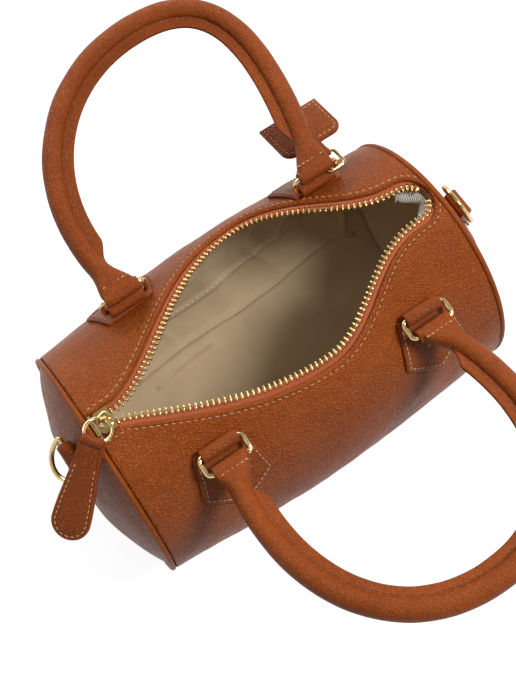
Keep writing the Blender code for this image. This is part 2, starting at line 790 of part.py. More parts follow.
# Handles


def foot_x(side, end):
    return (FRONT_FEET_X if side < 0 else REAR_FEET_X)[0 if end < 0 else 1]


def loop_point(side, x):
    """The centre of a patch's folded loop, where a ring's inner bar turns."""
    angle = FRONT_LOOP_ANGLE if side < 0 else REAR_LOOP_ANGLE
    return skin(x, side * angle, -LOOP_STANDOFF)


def tilted(side, tilt):
    """A direction at an angle from straight up, leaning out over the front or the back."""
    return Vector((0, side * math.sin(tilt), math.cos(tilt)))


def ring_tilt(side):
    return FRONT_RING_TILT if side < 0 else REAR_RING_TILT


def loop_level(side):
    """The loops of one side share one axis, so both take the place of the one further out."""
    points = [loop_point(side, foot_x(side, end)) for end in (-1, 1)]
    return max(points, key=lambda point: side * point.y)


def loop_centre(side, x):
    level = loop_level(side)
    return Vector((x, level.y, level.z))


def foot_centre(side, x):
    """The centre of a handle's fold, on the ring's outer bar."""
    return loop_centre(side, x) + tilted(side, ring_tilt(side)) * RING_SPAN


def patch(name, side, x_middle, look):
    """A leather patch on the wall, pointed at its foot, with its top folded into a loop."""
    angle = FRONT_LOOP_ANGLE if side < 0 else REAR_LOOP_ANGLE
    top, wide = PATCH_TOP_WIDTH / 2, PATCH_WIDTH / 2
    rows = []
    for share in PATCH_COLUMN_SHARES:
        drop = PATCH_DROP + (PATCH_SIDE - PATCH_DROP) * abs(share)
        column = []
        for j in range(PATCH_ROWS):
            run = drop * j / (PATCH_ROWS - 1)
            half = top + (wide - top) * min(run / PATCH_SIDE, 1)
            column.append(skin(x_middle + half * share, side * (angle + run / END_RADIUS), -SEAT - LEATHER))
        rows.append(column)
    body = shell(name, rows, LEATHER, look, away_from_axis)
    centre = loop_centre(side, x_middle)
    combine(body, bar(name + "_loop_form", centre, ALONG, LOOP_WIDTH, EYE_RADIUS, look), "UNION")
    combine(body, bar(name + "_bore", centre, ALONG, LOOP_WIDTH + CUT_OVERRUN, EYE_BORE), "DIFFERENCE")
    return body


def handle_ring(name, side, x_middle, look):
    lean = tilted(side, ring_tilt(side))
    centre = loop_centre(side, x_middle) + lean * RING_SPAN / 2
    outline = rounded_outline(RING_LENGTH / 2, RING_SPAN / 2, RING_CORNER)
    points = [centre + ALONG * a + lean * b for a, b in outline]
    return tube(name, points, RING_WIRE, look, cyclic=True, resolution=1)


def bezier(points, share):
    a, b, c, d = points
    rest = 1 - share
    return a * rest**3 + b * (3 * rest**2 * share) + c * (3 * rest * share**2) + d * share**3


def handle_arch(side):
    """The centre line of a handle from its left foot to its right foot, evenly spaced along its run."""
    lean = tilted(side, FRONT_HANDLE_TILT if side < 0 else REAR_HANDLE_TILT)
    shift = FRONT_APEX_SHIFT if side < 0 else REAR_APEX_SHIFT
    height = FRONT_HANDLE_HEIGHT if side < 0 else REAR_HANDLE_HEIGHT
    left, right = foot_centre(side, foot_x(side, -1)), foot_centre(side, foot_x(side, 1))
    apex = (left + right) / 2 + ALONG * shift + lean * height
    leg = lean * math.cos(HANDLE_SPLAY)
    splay = ALONG * math.sin(HANDLE_SPLAY)
    first = [left, left + (leg - splay) * HANDLE_LEG_PULL, apex - ALONG * HANDLE_TOP_PULL, apex]
    second = [apex, apex + ALONG * HANDLE_TOP_PULL, right + (leg + splay) * HANDLE_LEG_PULL, right]
    fine = [bezier(first, i / ARCH_STEPS) for i in range(ARCH_STEPS)]
    fine += [bezier(second, i / ARCH_STEPS) for i in range(ARCH_STEPS + 1)]
    path, run = [(0, fine[0], 0)], 0
    for last, point in zip(fine, fine[1:]):
        run += (point - last).length
        path.append((run, point, 0))
    return path, lean


def handle_sections(side, count, outline):
    """Sections of a handle between its two end tongues, with the flange towards the inside of the arch."""
    path, lean = handle_arch(side)
    length = path[-1][0] - 2 * TONGUE_LENGTH - 2 * SEAT
    normal = ALONG.cross(lean).normalized()
    sections = []
    for i in range(count):
        run = length * i / (count - 1)
        point, direction, _ = on_path(path, TONGUE_LENGTH + SEAT + run)
        inward = direction.cross(normal).normalized()
        run_out = smooth_step(min(run, length - run) / FLANGE_RUN_OUT)
        sections.append([point + inward * a + normal * b for a, b in outline(run_out)])
    return sections


def cover_outline(run_out):
    """A round tube with a flat flange on its inner side."""
    opening = math.asin(FLANGE_THICKNESS / 2 / HANDLE_RADIUS)
    points = []
    for k in range(COVER_SIDES - 2):
        turn = opening + (math.tau - 2 * opening) * k / (COVER_SIDES - 3)
        points.append((HANDLE_RADIUS * math.cos(turn), HANDLE_RADIUS * math.sin(turn)))
    edge = HANDLE_RADIUS + FLANGE_HEIGHT * run_out
    return [*points, (edge, -FLANGE_THICKNESS / 2), (edge, FLANGE_THICKNESS / 2)]


def round_outline(radius, sides):
    turns = [math.tau * k / sides for k in range(sides)]
    return lambda run_out: [(radius * math.cos(turn), radius * math.sin(turn)) for turn in turns]


def handle_cover(name, side, look):
    bore = HANDLE_RADIUS - HANDLE_WALL
    bm = bmesh.new()
    loft(bm, handle_sections(side, COVER_STATIONS, cover_outline),
         handle_sections(side, COVER_STATIONS, round_outline(bore, COVER_SIDES)))
    return mesh_object(name, bm, look)


def handle_core(name, side, look):
    bm = bmesh.new()
    radius = HANDLE_RADIUS - HANDLE_WALL - LAYER_GAP
    loft(bm, handle_sections(side, COVER_STATIONS, round_outline(radius, CORE_SIDES)))
    return mesh_object(name, bm, look)


def handle_tongue(name, side, end, look):
    """The flared end of a handle. It leaves the tube round, widens, and folds about the ring's bar."""
    path, lean = handle_arch(side)
    normal = ALONG.cross(lean).normalized()
    total = path[-1][0]
    foot = foot_centre(side, foot_x(side, end))
    half = TONGUE_WIDTH / 2
    sections = []
    for share in TONGUE_SHARES:
        run = TONGUE_LENGTH * max(share, 0)
        point, direction, _ = on_path(path, run if end < 0 else total - run)
        across = direction.cross(normal).normalized()
        blend = smooth_step(share)
        across = (ALONG * (1 - blend) + across * blend * (1 if across.x > 0 else -1)).normalized()
        width = half + (HANDLE_RADIUS - half) * blend
        depth = EYE_RADIUS + (HANDLE_RADIUS - EYE_RADIUS) * blend
        corner = TONGUE_SQUARE_SHARE + (1 - TONGUE_SQUARE_SHARE) * blend
        ring = []
        for k in range(COVER_SIDES):
            turn = math.tau * (k + 1 / 2) / COVER_SIDES
            a = math.copysign(abs(math.cos(turn)) ** corner, math.cos(turn)) * width
            b = math.copysign(abs(math.sin(turn)) ** corner, math.sin(turn)) * depth
            ring.append(point + across * a + normal * b)
        sections.append(ring)
    bm = bmesh.new()
    loft(bm, sections)
    body = mesh_object(name, bm, look)
    combine(body, bar(name + "_fold_form", foot, ALONG, TONGUE_WIDTH, EYE_RADIUS, look), "UNION")
    combine(body, bar(name + "_bore", foot, ALONG, TONGUE_WIDTH + CUT_OVERRUN, EYE_BORE), "DIFFERENCE")
    return body


def build_handles(leather, metal, core_look):
    for word, side in (("front", -1), ("rear", 1)):
        for place_word, end in (("left", -1), ("right", 1)):
            patch(f"{word}_{place_word}_patch", side, foot_x(side, end), leather)
            handle_ring(f"{word}_{place_word}_ring", side, foot_x(side, end), metal)
            handle_tongue(f"{word}_handle_{place_word}_tongue", side, end, leather)
        handle_cover(word + "_handle_cover", side, leather)
        handle_core(word + "_handle_core", side, core_look)


# End rings and tag


def dome_x(height):
    """How far an end panel stands out from the middle of the bag, at a height above the axis."""
    share = height / (END_RADIUS - 2 * PIPING_RADIUS)
    return BODY_LENGTH / 2 + DOME_RISE * (1 - share**DOME_POWER)


def d_eye(side):
    return Vector((side * (dome_x(D_TAB_HEIGHT) + LOOP_STANDOFF), 0, AXIS_HEIGHT + D_TAB_HEIGHT))


def d_tab(name, side, look):
    """A short strap on the end panel with its top folded round the ring's straight bar."""
    half = D_TAB_WIDTH / 2
    rows = []
    for across in (-half, 0, half):
        column = []
        for j in range(D_TAB_ROWS):
            height = D_TAB_HEIGHT - D_TAB_LENGTH * j / (D_TAB_ROWS - 1)
            radius = math.hypot(height, across)
            x = dome_x(radius) + SEAT + LEATHER
            column.append(Vector((side * x, across, AXIS_HEIGHT + height)))
        rows.append(column)
    body = shell(name, rows, LEATHER, look, lambda point: ALONG * side)
    bar_axis = Vector((0, 1, 0))
    combine(body, bar(name + "_loop_form", d_eye(side), bar_axis, D_TAB_WIDTH, EYE_RADIUS, look), "UNION")
    combine(body, bar(name + "_bore", d_eye(side), bar_axis, D_TAB_WIDTH + CUT_OVERRUN, EYE_BORE), "DIFFERENCE")
    return body


def d_ring(name, side, look):
    tilt = LEFT_D_RING_TILT if side < 0 else RIGHT_D_RING_TILT
    lean = Vector((side * math.sin(tilt), 0, math.cos(tilt)))
    across = Vector((0, 1, 0))
    half = D_RING_WIDTH / 2
    points = [d_eye(side) + across * half * share for share in D_BAR_SHARES]
    for i in range(1, D_RING_STEPS):
        turn = math.pi * i / D_RING_STEPS
        points.append(d_eye(side) + across * half * math.cos(turn) + lean * D_RING_DEPTH * math.sin(turn))
    return tube(name, points, D_RING_WIRE, look, cyclic=True, resolution=1)


def link_frame():
    """The tag's wire link hangs on the outer end of the rear right ring."""
    lean = tilted(1, REAR_RING_TILT)
    hold = loop_centre(1, foot_x(1, 1)) + lean * RING_SPAN / 2 + ALONG * RING_LENGTH / 2
    out = Vector((0, math.cos(LINK_DROP), -math.sin(LINK_DROP)))
    inside = RING_WIRE + LINK_WIRE + SEAT
    return hold - out * inside, out


def tag_link(look):
    start, out = link_frame()
    outline = rounded_outline(LINK_WIDTH / 2, LINK_LENGTH / 2, LINK_CORNER)
    centre = start + out * LINK_LENGTH / 2
    points = [centre + ALONG * a + out * b for a, b in outline]
    return tube("tag_link", points, LINK_WIRE, look, cyclic=True, resolution=1)


def hanging_tag(look):
    """A flat stitched tag, its two near corners rounded, on a short strap round the link."""
    start, out = link_frame()
    eye = start + out * LINK_LENGTH
    along = Vector((0, math.cos(TAG_DROP), -math.sin(TAG_DROP)))
    half, strap = TAG_WIDTH / 2, TAG_STRAP_WIDTH / 2
    near = TAG_STRAP_LENGTH
    far = near + TAG_LENGTH
    corner = [(near + TAG_CORNER * (1 - math.sin(turn)), half - TAG_CORNER * (1 - math.cos(turn)))
              for turn in (math.pi / 2 * i / TAG_CORNER_STEPS for i in range(TAG_CORNER_STEPS + 1))]
    side = [(0, strap), (near, strap), *reversed(corner), (far, half)]
    outline = side + [(a, -b) for a, b in reversed(side)]
    bm = bmesh.new()
    slab(bm, outline, eye, along, ALONG, TAG_THICKNESS)
    body = mesh_object("hanging_tag", bm, look)
    combine(body, bar("tag_eye_form", eye, ALONG, TAG_STRAP_WIDTH, TAG_EYE, look), "UNION")
    bore = LINK_WIRE + EYE_GAP
    combine(body, bar("tag_bore", eye, ALONG, TAG_STRAP_WIDTH + CUT_OVERRUN, bore), "DIFFERENCE")
    return body


def build_trim(leather, metal):
    for word, side in (("left", -1), ("right", 1)):
        d_tab(word + "_d_ring_tab", side, leather)
        d_ring(word + "_d_ring", side, metal)
    tag_link(metal)
    hanging_tag(leather)


# Joint axes


def pivot(name, point, pieces, parent=None):
    """An empty on a joint's axis that carries the pieces which move with it."""
    empty = place(name, None, None)
    empty.location = point
    carried = [bpy.data.objects[piece] for piece in pieces]
    for obj in carried:
        obj.parent = empty
        obj.matrix_parent_inverse = Matrix.Translation(-point)
    if parent:
        empty.parent = parent
        empty.matrix_parent_inverse = Matrix.Translation(-parent.location)
    return empty


def build_pivots():
    for word, side in (("front", -1), ("rear", 1)):
        rings = pivot(word + "_rings_axis", loop_centre(side, 0), [word + "_left_ring", word + "_right_ring"])
        pieces = [f"{word}_handle_{piece}" for piece in ("cover", "core", "left_tongue", "right_tongue")]
        pivot(word + "_handle_axis", foot_centre(side, 0), pieces, rings)
    row, inner, outer = slider_levels()
    slide = pivot("slider_axis", Vector((slider_start(), 0, row)), ["zip_slider"])
    centre, out, across = pull_ring_frame()
    swing = pivot("pull_ring_axis", centre - out * PULL_RING_RADIUS, ["pull_ring"], slide)
    pivot("puller_axis", centre + out * PULL_RING_RADIUS, ["zip_puller"], swing)
    for word, side in (("left", -1), ("right", 1)):
        pivot(word + "_d_ring_axis", d_eye(side), [word + "_d_ring"])
    start, out = link_frame()
    inside = RING_WIRE + LINK_WIRE + SEAT
    link = pivot("tag_link_axis", start + out * inside, ["tag_link"], rings)
    pivot("tag_axis", start + out * LINK_LENGTH, ["hanging_tag"], link)


def main():
    clear_scene()
    leather = material("cognac_leather", (0.36, 0.12, 0.035), 0.5)
    cloth = material("beige_lining", (0.50, 0.40, 0.26), 0.85)
    card = material("board", (0.25, 0.20, 0.15), 0.9)
    tape = material("rust_tape", (0.38, 0.10, 0.03), 0.8)
    brass = material("gold_teeth", (0.83, 0.62, 0.28), 0.3, 1)
    gold = material("pale_gold", (0.90, 0.78, 0.52), 0.15, 1)
    stripe = material("striped_tape", (0.75, 0.72, 0.66), 0.8)
    cord = material("handle_core", (0.60, 0.56, 0.48), 0.9)
    build_body(leather, cloth, card)
    lining(cloth)
    slip_pocket(cloth)
    build_zip(tape, brass, gold, leather, stripe)
    build_handles(leather, gold, cord)
    build_trim(leather, gold)
    build_pivots()


main()
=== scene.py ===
"""Looks of the small barrel handbag: pebbled leather, open zip, lining, rolled handles and gold hardware.

Metres, +Z up. X runs along the bag, -Y is the front, and the base stands on z = 0.
"""

from math import asin, atan2, copysign, cos, exp, hypot, log, pi, radians, sin, sqrt, tau

import bmesh
import bpy
from mathutils import Matrix, Vector, noise


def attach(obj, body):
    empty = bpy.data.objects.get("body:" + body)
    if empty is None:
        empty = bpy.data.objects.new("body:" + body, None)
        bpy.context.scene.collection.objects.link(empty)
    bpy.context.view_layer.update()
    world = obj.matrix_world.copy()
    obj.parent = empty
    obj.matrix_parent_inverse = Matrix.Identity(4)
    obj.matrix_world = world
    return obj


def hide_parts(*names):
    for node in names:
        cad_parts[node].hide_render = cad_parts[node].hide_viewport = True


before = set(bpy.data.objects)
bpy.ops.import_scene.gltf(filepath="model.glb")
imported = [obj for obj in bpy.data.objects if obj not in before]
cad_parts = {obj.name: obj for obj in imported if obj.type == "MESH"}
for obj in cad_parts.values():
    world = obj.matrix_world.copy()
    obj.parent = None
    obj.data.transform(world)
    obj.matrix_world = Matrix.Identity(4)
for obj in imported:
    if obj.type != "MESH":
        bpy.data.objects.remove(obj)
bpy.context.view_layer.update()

# Sizes shared with the solids. A pair gives the front or left value first, and pick takes one of them.
BODY_LENGTH = 0.205
END_RADIUS = 0.0635
FRONT_BULGE, REAR_BULGE = 0.0068, 0.0090
REAR_LEFT_GROWTH, REAR_RIGHT_GROWTH = -0.0012, 0.0033
BASE_HALF_WIDTH = 0.030
LEATHER = 0.0015
LINING = 0.0006
SEAT = 0.0003
LAYER_GAP = 0.0009
DOME_RISE, DOME_POWER = 0.014, 3
PIPING_RADIUS = 0.0015
PIPING_PROUD = 0.0006
SWEEPS = (radians(26.0), radians(39.0))
END_ANGLES = (radians(1.5), radians(17.0))
MOUTH_PEAK_X, MOUTH_LEFT_X, MOUTH_RIGHT_XS = 0.012, -0.0868, (0.090, 0.094)
SWELL_POWERS = ((1.0, 2.5), (1.5, 2.6))
CLOSE_X, ROW_CLOSE_REACH, LEATHER_CLOSE_REACH = 0.0895, 0.0095, 0.0104
TOOTH_PITCH = 0.0028
TAPE, TAPE_WIDTH, TAPE_END = 0.0005, 0.0115, 0.0015
ROW_SPREAD, ROW_END_MARGIN = 0.0036, 0.0040
MOUTH_LEATHER_GAP, LINING_EDGE_GAP = 0.0030, 0.0080
SLIDER_LENGTH, SLIDER_PLATE, SLIDER_CLEARANCE, SLIDER_REST_GAP = 0.0082, 0.0010, 0.00035, 0.0006
TOOTH_HALF_HEIGHT = 0.00125
BAIL_RADIUS, BAIL_RISE = 0.0007, 0.0044
PULL_RING_RADIUS, PULL_RING_WIRE, PULL_RING_TILT = 0.0064, 0.0009, radians(18.0)
PULLER_LENGTH, PULLER_TOP_WIDTH, PULLER_WIDTH = 0.051, 0.0125, 0.019
PULLER_THICKNESS, PULLER_EYE = 0.0028, 0.0024
PULLER_DROP, PULLER_YAW = radians(36.0), radians(35.0)
TAB_DEPTH = 0.0150
POCKET_HALF_LENGTH = 0.062
POCKET_TOP, POCKET_BOTTOM = radians(66.0), radians(106.0)
FEET_X = ((-0.0565, 0.0610), (-0.0525, 0.0610))
LOOP_ANGLES = (radians(32.5), radians(39.5))
EYE_WALL, EYE_GAP, LOOP_WIDTH = 0.0022, 0.00025, 0.020
PATCH_TOP_WIDTH, PATCH_WIDTH, PATCH_SIDE, PATCH_DROP = 0.027, 0.039, 0.023, 0.036
RING_WIRE, RING_LENGTH, RING_SPAN, RING_CORNER = 0.0013, 0.0240, 0.0095, 0.0026
RING_TILTS = (radians(97.0), radians(12.0))
HANDLE_RADIUS = 0.0053
FLANGE_HEIGHT, FLANGE_THICKNESS, FLANGE_RUN_OUT = 0.0050, 0.0024, 0.012
HANDLE_HEIGHTS = (0.120, 0.1145)
HANDLE_SPLAY = radians(16.4)
HANDLE_LEG_PULL, HANDLE_TOP_PULL = 0.064, 0.056
APEX_SHIFTS = (0.001, 0.023)
HANDLE_TILTS = (radians(70.0), radians(83.0))
TONGUE_LENGTH, TONGUE_WIDTH = 0.016, 0.019
D_TAB_HEIGHT, D_TAB_LENGTH, D_TAB_WIDTH = 0.044, 0.020, 0.014
D_RING_WIDTH, D_RING_DEPTH, D_RING_WIRE = 0.022, 0.013, 0.0013
D_RING_TILTS = (radians(130.0), radians(-20.0))
LINK_WIRE, LINK_LENGTH, LINK_WIDTH, LINK_CORNER = 0.0009, 0.0110, 0.0096, 0.0020
LINK_DROP, TAG_DROP = radians(12.0), radians(17.0)
TAG_WIDTH, TAG_LENGTH, TAG_THICKNESS, TAG_CORNER = 0.035, 0.026, 0.0026, 0.0060
TAG_STRAP_WIDTH, TAG_STRAP_LENGTH, TAG_EYE = 0.0052, 0.0085, 0.0020

AXIS_HEIGHT = sqrt(END_RADIUS**2 - BASE_HALF_WIDTH**2)
BASE_EDGE_ANGLE = pi - asin(BASE_HALF_WIDTH / END_RADIUS)
TAPE_DEPTH = LEATHER + LAYER_GAP
ROW_DEPTH = TAPE_DEPTH + TAPE / 2
LINING_DEPTH = TAPE_DEPTH + TAPE + LAYER_GAP
PANEL_HALF_LENGTH = BODY_LENGTH / 2 - PIPING_RADIUS - SEAT
LINING_HALF_LENGTH = PANEL_HALF_LENGTH - SEAT
LINING_LEVEL = LEATHER + SEAT + 0.0020 + LAYER_GAP
ROW_HALF_LENGTH = BODY_LENGTH / 2 - ROW_END_MARGIN
SLIDER_X = -ROW_HALF_LENGTH + SLIDER_REST_GAP + SLIDER_LENGTH / 2
EYE_BORE = RING_WIRE + EYE_GAP
EYE_RADIUS = EYE_BORE + EYE_WALL
LOOP_STANDOFF = EYE_RADIUS + SEAT
UP, ALONG, ACROSS = Vector((0, 0, 1)), Vector((1, 0, 0)), Vector((0, 1, 0))
AXIS = UP * AXIS_HEIGHT

# Sizes of the soft and sewn forms that only this scene has
DOME_SAGS = (0.0015, 0.0048)
POCKET_SAG = radians(13.0)
STITCH_MARGIN, PULLER_MARGIN, TAG_MARGIN = 0.0026, 0.0020, 0.0021
ROLL_RADIUS = EYE_RADIUS - 0.0003
TOPSTITCH = {"pitch": 0.0026, "length": 0.0018}
FINE_STITCH = {"pitch": 0.0028, "length": 0.0018, "radius": 0.00026}
WALLS, ENDS = (("front", -1), ("rear", 1)), (("left", -1), ("right", 1))


def pick(pair, side):
    return pair[side > 0]


def clamp(value):
    return min(max(value, 0.0), 1.0)


def add_object(name, data):
    obj = bpy.data.objects.new(name, data)
    bpy.context.scene.collection.objects.link(obj)
    return obj


# Camera

TARGET = Vector((-0.0019, 0.0086, AXIS_HEIGHT))
AZIMUTH, ELEVATION, DISTANCE = radians(-34.733), radians(70.764), 0.6442
back = Vector((sin(AZIMUTH) * cos(ELEVATION), -cos(AZIMUTH) * cos(ELEVATION), sin(ELEVATION)))
lens = bpy.data.cameras.new("camera")
lens.lens = 64.256
lens.sensor_width = 36
camera = add_object("camera", lens)
camera.location = TARGET + back * DISTANCE
camera.rotation_euler = back.to_track_quat("Z", "Y").to_euler()
bpy.context.scene.camera = camera


# Materials


def colour(red, green, blue):
    """A colour written in 0 to 255, as the linear values that a shader takes."""
    levels = (value / 255 for value in (red, green, blue))
    return (*(((v + 0.055) / 1.055) ** 2.4 if v > 0.04 else v / 12.92 for v in levels), 1.0)


class Nodes:
    """A material's node tree, with short calls that add a node, feed its inputs and give its result.

    An input is named as in Blender, or i0, i1 and so on by its number. set feeds the material's own shader.
    """

    def __init__(self, name, slot):
        self.material = bpy.data.materials.new(name)
        self.material.use_nodes = True
        self.tree = self.material.node_tree
        self.shader = self.tree.nodes["Principled BSDF"]
        self.material["slot"] = slot

    def add(self, kind, settings=None, **inputs):
        node = self.tree.nodes.new("ShaderNode" + kind)
        for key, value in (settings or {}).items():
            setattr(node, key, value)
        for key, value in inputs.items():
            self.feed(node.inputs[int(key[1:]) if key[1:].isdigit() else key], value)
        return node

    def feed(self, socket, value):
        if isinstance(value, bpy.types.NodeSocket):
            self.tree.links.new(value, socket)
        else:
            socket.default_value = value

    def mix(self, factor, first, second):
        return self.add("Mix", {"data_type": "RGBA"}, i0=factor, i6=first, i7=second).outputs[2]

    def math(self, operation, first, second=0.0):
        return self.add("Math", {"operation": operation}, i0=first, i1=second).outputs[0]

    def plus(self, first, second):
        return self.math("ADD", first, second)

    def times(self, first, second):
        return self.math("MULTIPLY", first, second)

    def remap(self, value, low, high, to_low=0.0, to_high=1.0):
        return self.add("MapRange", {}, i0=value, i1=low, i2=high, i3=to_low, i4=to_high).outputs[0]

    def noise(self, where, scale, detail=2.0, roughness=0.5):
        return self.add("TexNoise", {}, Vector=where, Scale=scale, Detail=detail, Roughness=roughness).outputs[0]

    def cells(self, where, scale, feature="SMOOTH_F1", **inputs):
        return self.add("TexVoronoi", {"feature": feature}, Vector=where, Scale=scale, **inputs).outputs[0]

    def wave(self, where, direction, scale, distortion):
        settings = {"bands_direction": direction}
        return self.add("TexWave", settings, Vector=where, Scale=scale, Distortion=distortion).outputs[1]

    def bump(self, height, distance, strength=1.0, normal=None):
        under = {"Normal": normal} if normal else {}
        return self.add("Bump", {}, Height=height, Distance=distance, Strength=strength, **under).outputs[0]

    def where(self, kind="Object", scale=(1.0, 1.0, 1.0), turn=(0.0, 0.0, 0.0)):
        source = self.add("TexCoord").outputs[kind]
        return self.add("Mapping", {}, Vector=source, Scale=scale, Rotation=turn).outputs[0]

    def set(self, **values):
        for key, value in values.items():
            self.feed(self.shader.inputs[key.replace("_", " ")], value)
        return self.material


def leather(name, base, dark, light, stretch=(1.0, 1.0, 1.0), grain=780.0, depth=0.00060, roughness=(0.27, 0.43)):
    """Milled full-grain leather: domed pebbles whose valleys are darkened with painted shade and whose tops are
    made paler as a painted highlight, pores and a two-tone dye.
    """
    n = Nodes(name, "cognac_leather")
    where = n.where(scale=stretch)
    drift = n.add("TexNoise", {}, Vector=where, Scale=240.0, Detail=3.0).outputs[1]
    push = {"operation": "MULTIPLY_ADD"}
    pushed = n.add("VectorMath", push, i0=drift, i1=(0.0022, 0.0022, 0.0022), i2=where).outputs[0]
    pebble = n.remap(n.cells(pushed, grain, Smoothness=0.25), 0.12, 0.62, 1.0, 0.0)
    valley = n.remap(n.cells(pushed, grain, "DISTANCE_TO_EDGE"), 0.0, 0.17, 1.0, 0.0)
    fine = n.remap(n.cells(pushed, grain * 2.3, Smoothness=0.35), 0.15, 0.62, 1.0, 0.0)
    creases = n.cells(pushed, grain * 0.36, Smoothness=0.5)
    pores = n.noise(where, 4200.0, 3.0, 0.6)
    blotch = n.noise(where, 26.0, 3.0, 0.55)
    mottling = n.noise(where, 330.0, 3.0, 0.65)
    swells = n.noise(where, 60.0, 3.0, 0.5)
    height = n.plus(n.times(pebble, 0.60), n.times(fine, 0.20))
    height = n.plus(height, n.times(pores, 0.12))
    height = n.math("SUBTRACT", height, n.times(valley, 0.25))
    # The first colour here is a painted highlight: the lighter dye made paler still, for the tops of the pebbles.
    pebble_highlight, dark = colour(*(min(value * 1.16, 255) for value in light)), colour(*dark)
    dyed = n.mix(n.remap(blotch, 0.3, 0.7), colour(*base), colour(*light))
    # Painted highlight: the tops of the pebbles are mixed towards the paler colour, as if lit.
    dyed = n.mix(n.remap(pebble, 0.55, 1.0, 0.0, 0.40), dyed, pebble_highlight)
    dyed = n.mix(n.remap(mottling, 0.38, 0.70, 0.0, 0.16), dyed, dark)
    # Painted shade: the valleys between the pebbles are mixed towards the dark colour, where shade falls between
    # them.
    dyed = n.mix(n.times(valley, 0.48), dyed, dark)
    normal = n.bump(swells, 0.0014, 0.55)
    normal = n.bump(creases, depth, 0.55, normal)
    normal = n.bump(height, depth, 1.0, normal)
    gloss = n.remap(n.plus(n.times(mottling, 0.6), n.times(pores, 0.4)), 0.3, 0.7, *roughness)
    return n.set(Base_Color=dyed, Roughness=gloss, Normal=normal, Specular_IOR_Level=0.15)


def cloth(name, slot, base, dark, pitch, depth, roughness):
    """Plain weave, from two crossed sets of threads along the UV directions."""
    n = Nodes(name, slot)
    where, place = n.where("UV"), n.where()
    base, dark = colour(*base), colour(*dark)
    bands = 0.314 / pitch
    weave = n.math("MAXIMUM", n.wave(where, "X", bands, 0.4), n.wave(where, "Y", bands, 0.4))
    fuzz = n.noise(place, 2600.0, 2.0, 0.6)
    tone = n.mix(n.remap(n.noise(place, 30.0, 3.0, 0.55), 0.3, 0.7, 0.0, 0.5), base, dark)
    tone = n.mix(n.remap(weave, 0.2, 0.9, 0.35, 0.0), tone, dark)
    normal = n.bump(n.noise(place, 90.0, 3.0, 0.5), 0.0010, 0.45)
    normal = n.bump(n.plus(weave, n.times(fuzz, 0.5)), depth, 0.8, normal)
    return n.set(Base_Color=tone, Roughness=roughness, Normal=normal, Sheen_Weight=0.12, Sheen_Roughness=0.5)


def metal(name, slot, base, dark, roughness):
    """Plated metal with fine wear in its polish."""
    n = Nodes(name, slot)
    haze = n.noise(n.where(), 240.0, 4.0, 0.6)
    scratch = n.noise(n.where(scale=(1.0, 6.0, 1.0), turn=(0.3, 0.5, 0.8)), 1400.0, 2.0, 0.5)
    tone = n.mix(n.remap(haze, 0.3, 0.75, 0.0, 0.6), colour(*base), colour(*dark))
    gloss = n.remap(haze, 0.3, 0.7, *roughness)
    return n.set(Base_Color=tone, Metallic=1.0, Roughness=gloss, Normal=n.bump(scratch, 0.00002, 0.35))


def thread(name, slot, base, dark):
    n = Nodes(name, slot)
    twist = n.wave(n.where(), "DIAGONAL", 900.0, 1.0)
    tone = n.mix(n.remap(twist, 0.2, 0.8), colour(*dark), colour(*base))
    return n.set(Base_Color=tone, Roughness=0.62, Normal=n.bump(twist, 0.00008, 0.7), Sheen_Weight=0.2)


def herringbone():
    """Pale tape woven in zigzag ribs, whose columns turn back every few threads."""
    n = Nodes("herringbone", "striped_tape")
    split = n.add("SeparateXYZ", {}, Vector=n.where("UV"))
    column = n.math("PINGPONG", split.outputs[1], 0.0018)
    ribs = n.math("SINE", n.times(n.plus(split.outputs[0], column), tau / 0.0011))
    fuzz = n.noise(n.where(), 2400.0, 2.0, 0.6)
    tone = n.mix(n.remap(ribs, -0.35, 0.35), colour(132, 118, 104), colour(244, 236, 224))
    tone = n.mix(n.remap(column, 0.0, 0.0002, 0.35, 0.0), tone, colour(96, 84, 74))
    normal = n.bump(n.plus(ribs, n.times(fuzz, 0.4)), 0.00016, 0.8)
    return n.set(Base_Color=tone, Roughness=0.8, Normal=normal, Sheen_Weight=0.1)


def plain_board(name, slot, base, dark):
    n = Nodes(name, slot)
    fibre = n.noise(n.where(scale=(1.0, 5.0, 1.0)), 300.0, 4.0, 0.6)
    tone = n.mix(fibre, colour(*dark), colour(*base))
    return n.set(Base_Color=tone, Roughness=0.85, Normal=n.bump(fibre, 0.0002, 0.5))


COGNAC, COGNAC_DARK, COGNAC_LIGHT = (157, 74, 20), (76, 30, 7), (176, 88, 27)
hide_look = leather("pebbled_leather", COGNAC, COGNAC_DARK, COGNAC_LIGHT, stretch=(0.65, 1.2, 1.2))
end_look = leather("end_leather", COGNAC, COGNAC_DARK, COGNAC_LIGHT, stretch=(1.1, 0.8, 1.1))
rolled_look = leather("rolled_leather", (150, 70, 21), COGNAC_DARK, (168, 82, 27), grain=1000.0, depth=0.00028,
                      roughness=(0.33, 0.48))
strap_look = leather("strap_leather", (146, 68, 20), (72, 29, 8), (164, 79, 25), grain=860.0, depth=0.00034)
welt_look = leather("welt_leather", (152, 72, 22), (80, 33, 9), (168, 84, 28), grain=1200.0, depth=0.00012,
                    roughness=(0.36, 0.50))
tape_look = cloth("zip_tape", "rust_tape", (208, 104, 50), (146, 64, 26), 0.0008, 0.00030, 0.80)
lining_look = cloth("lining_cloth", "beige_lining", (206, 182, 146), (178, 154, 119), 0.00055, 0.00008, 0.72)
gold_look = metal("pale_gold", "pale_gold", (232, 206, 150), (176, 142, 84), (0.07, 0.18))
brass_look = metal("gold_teeth", "gold_teeth", (238, 208, 142), (180, 138, 72), (0.14, 0.28))
cast_look = metal("cast_gold", "gold_teeth", (214, 178, 108), (140, 102, 48), (0.28, 0.42))
pale_thread = thread("pale_thread", "striped_tape", (228, 194, 150), (184, 142, 100))
tape_thread = thread("tape_thread", "rust_tape", (230, 126, 68), (160, 76, 36))
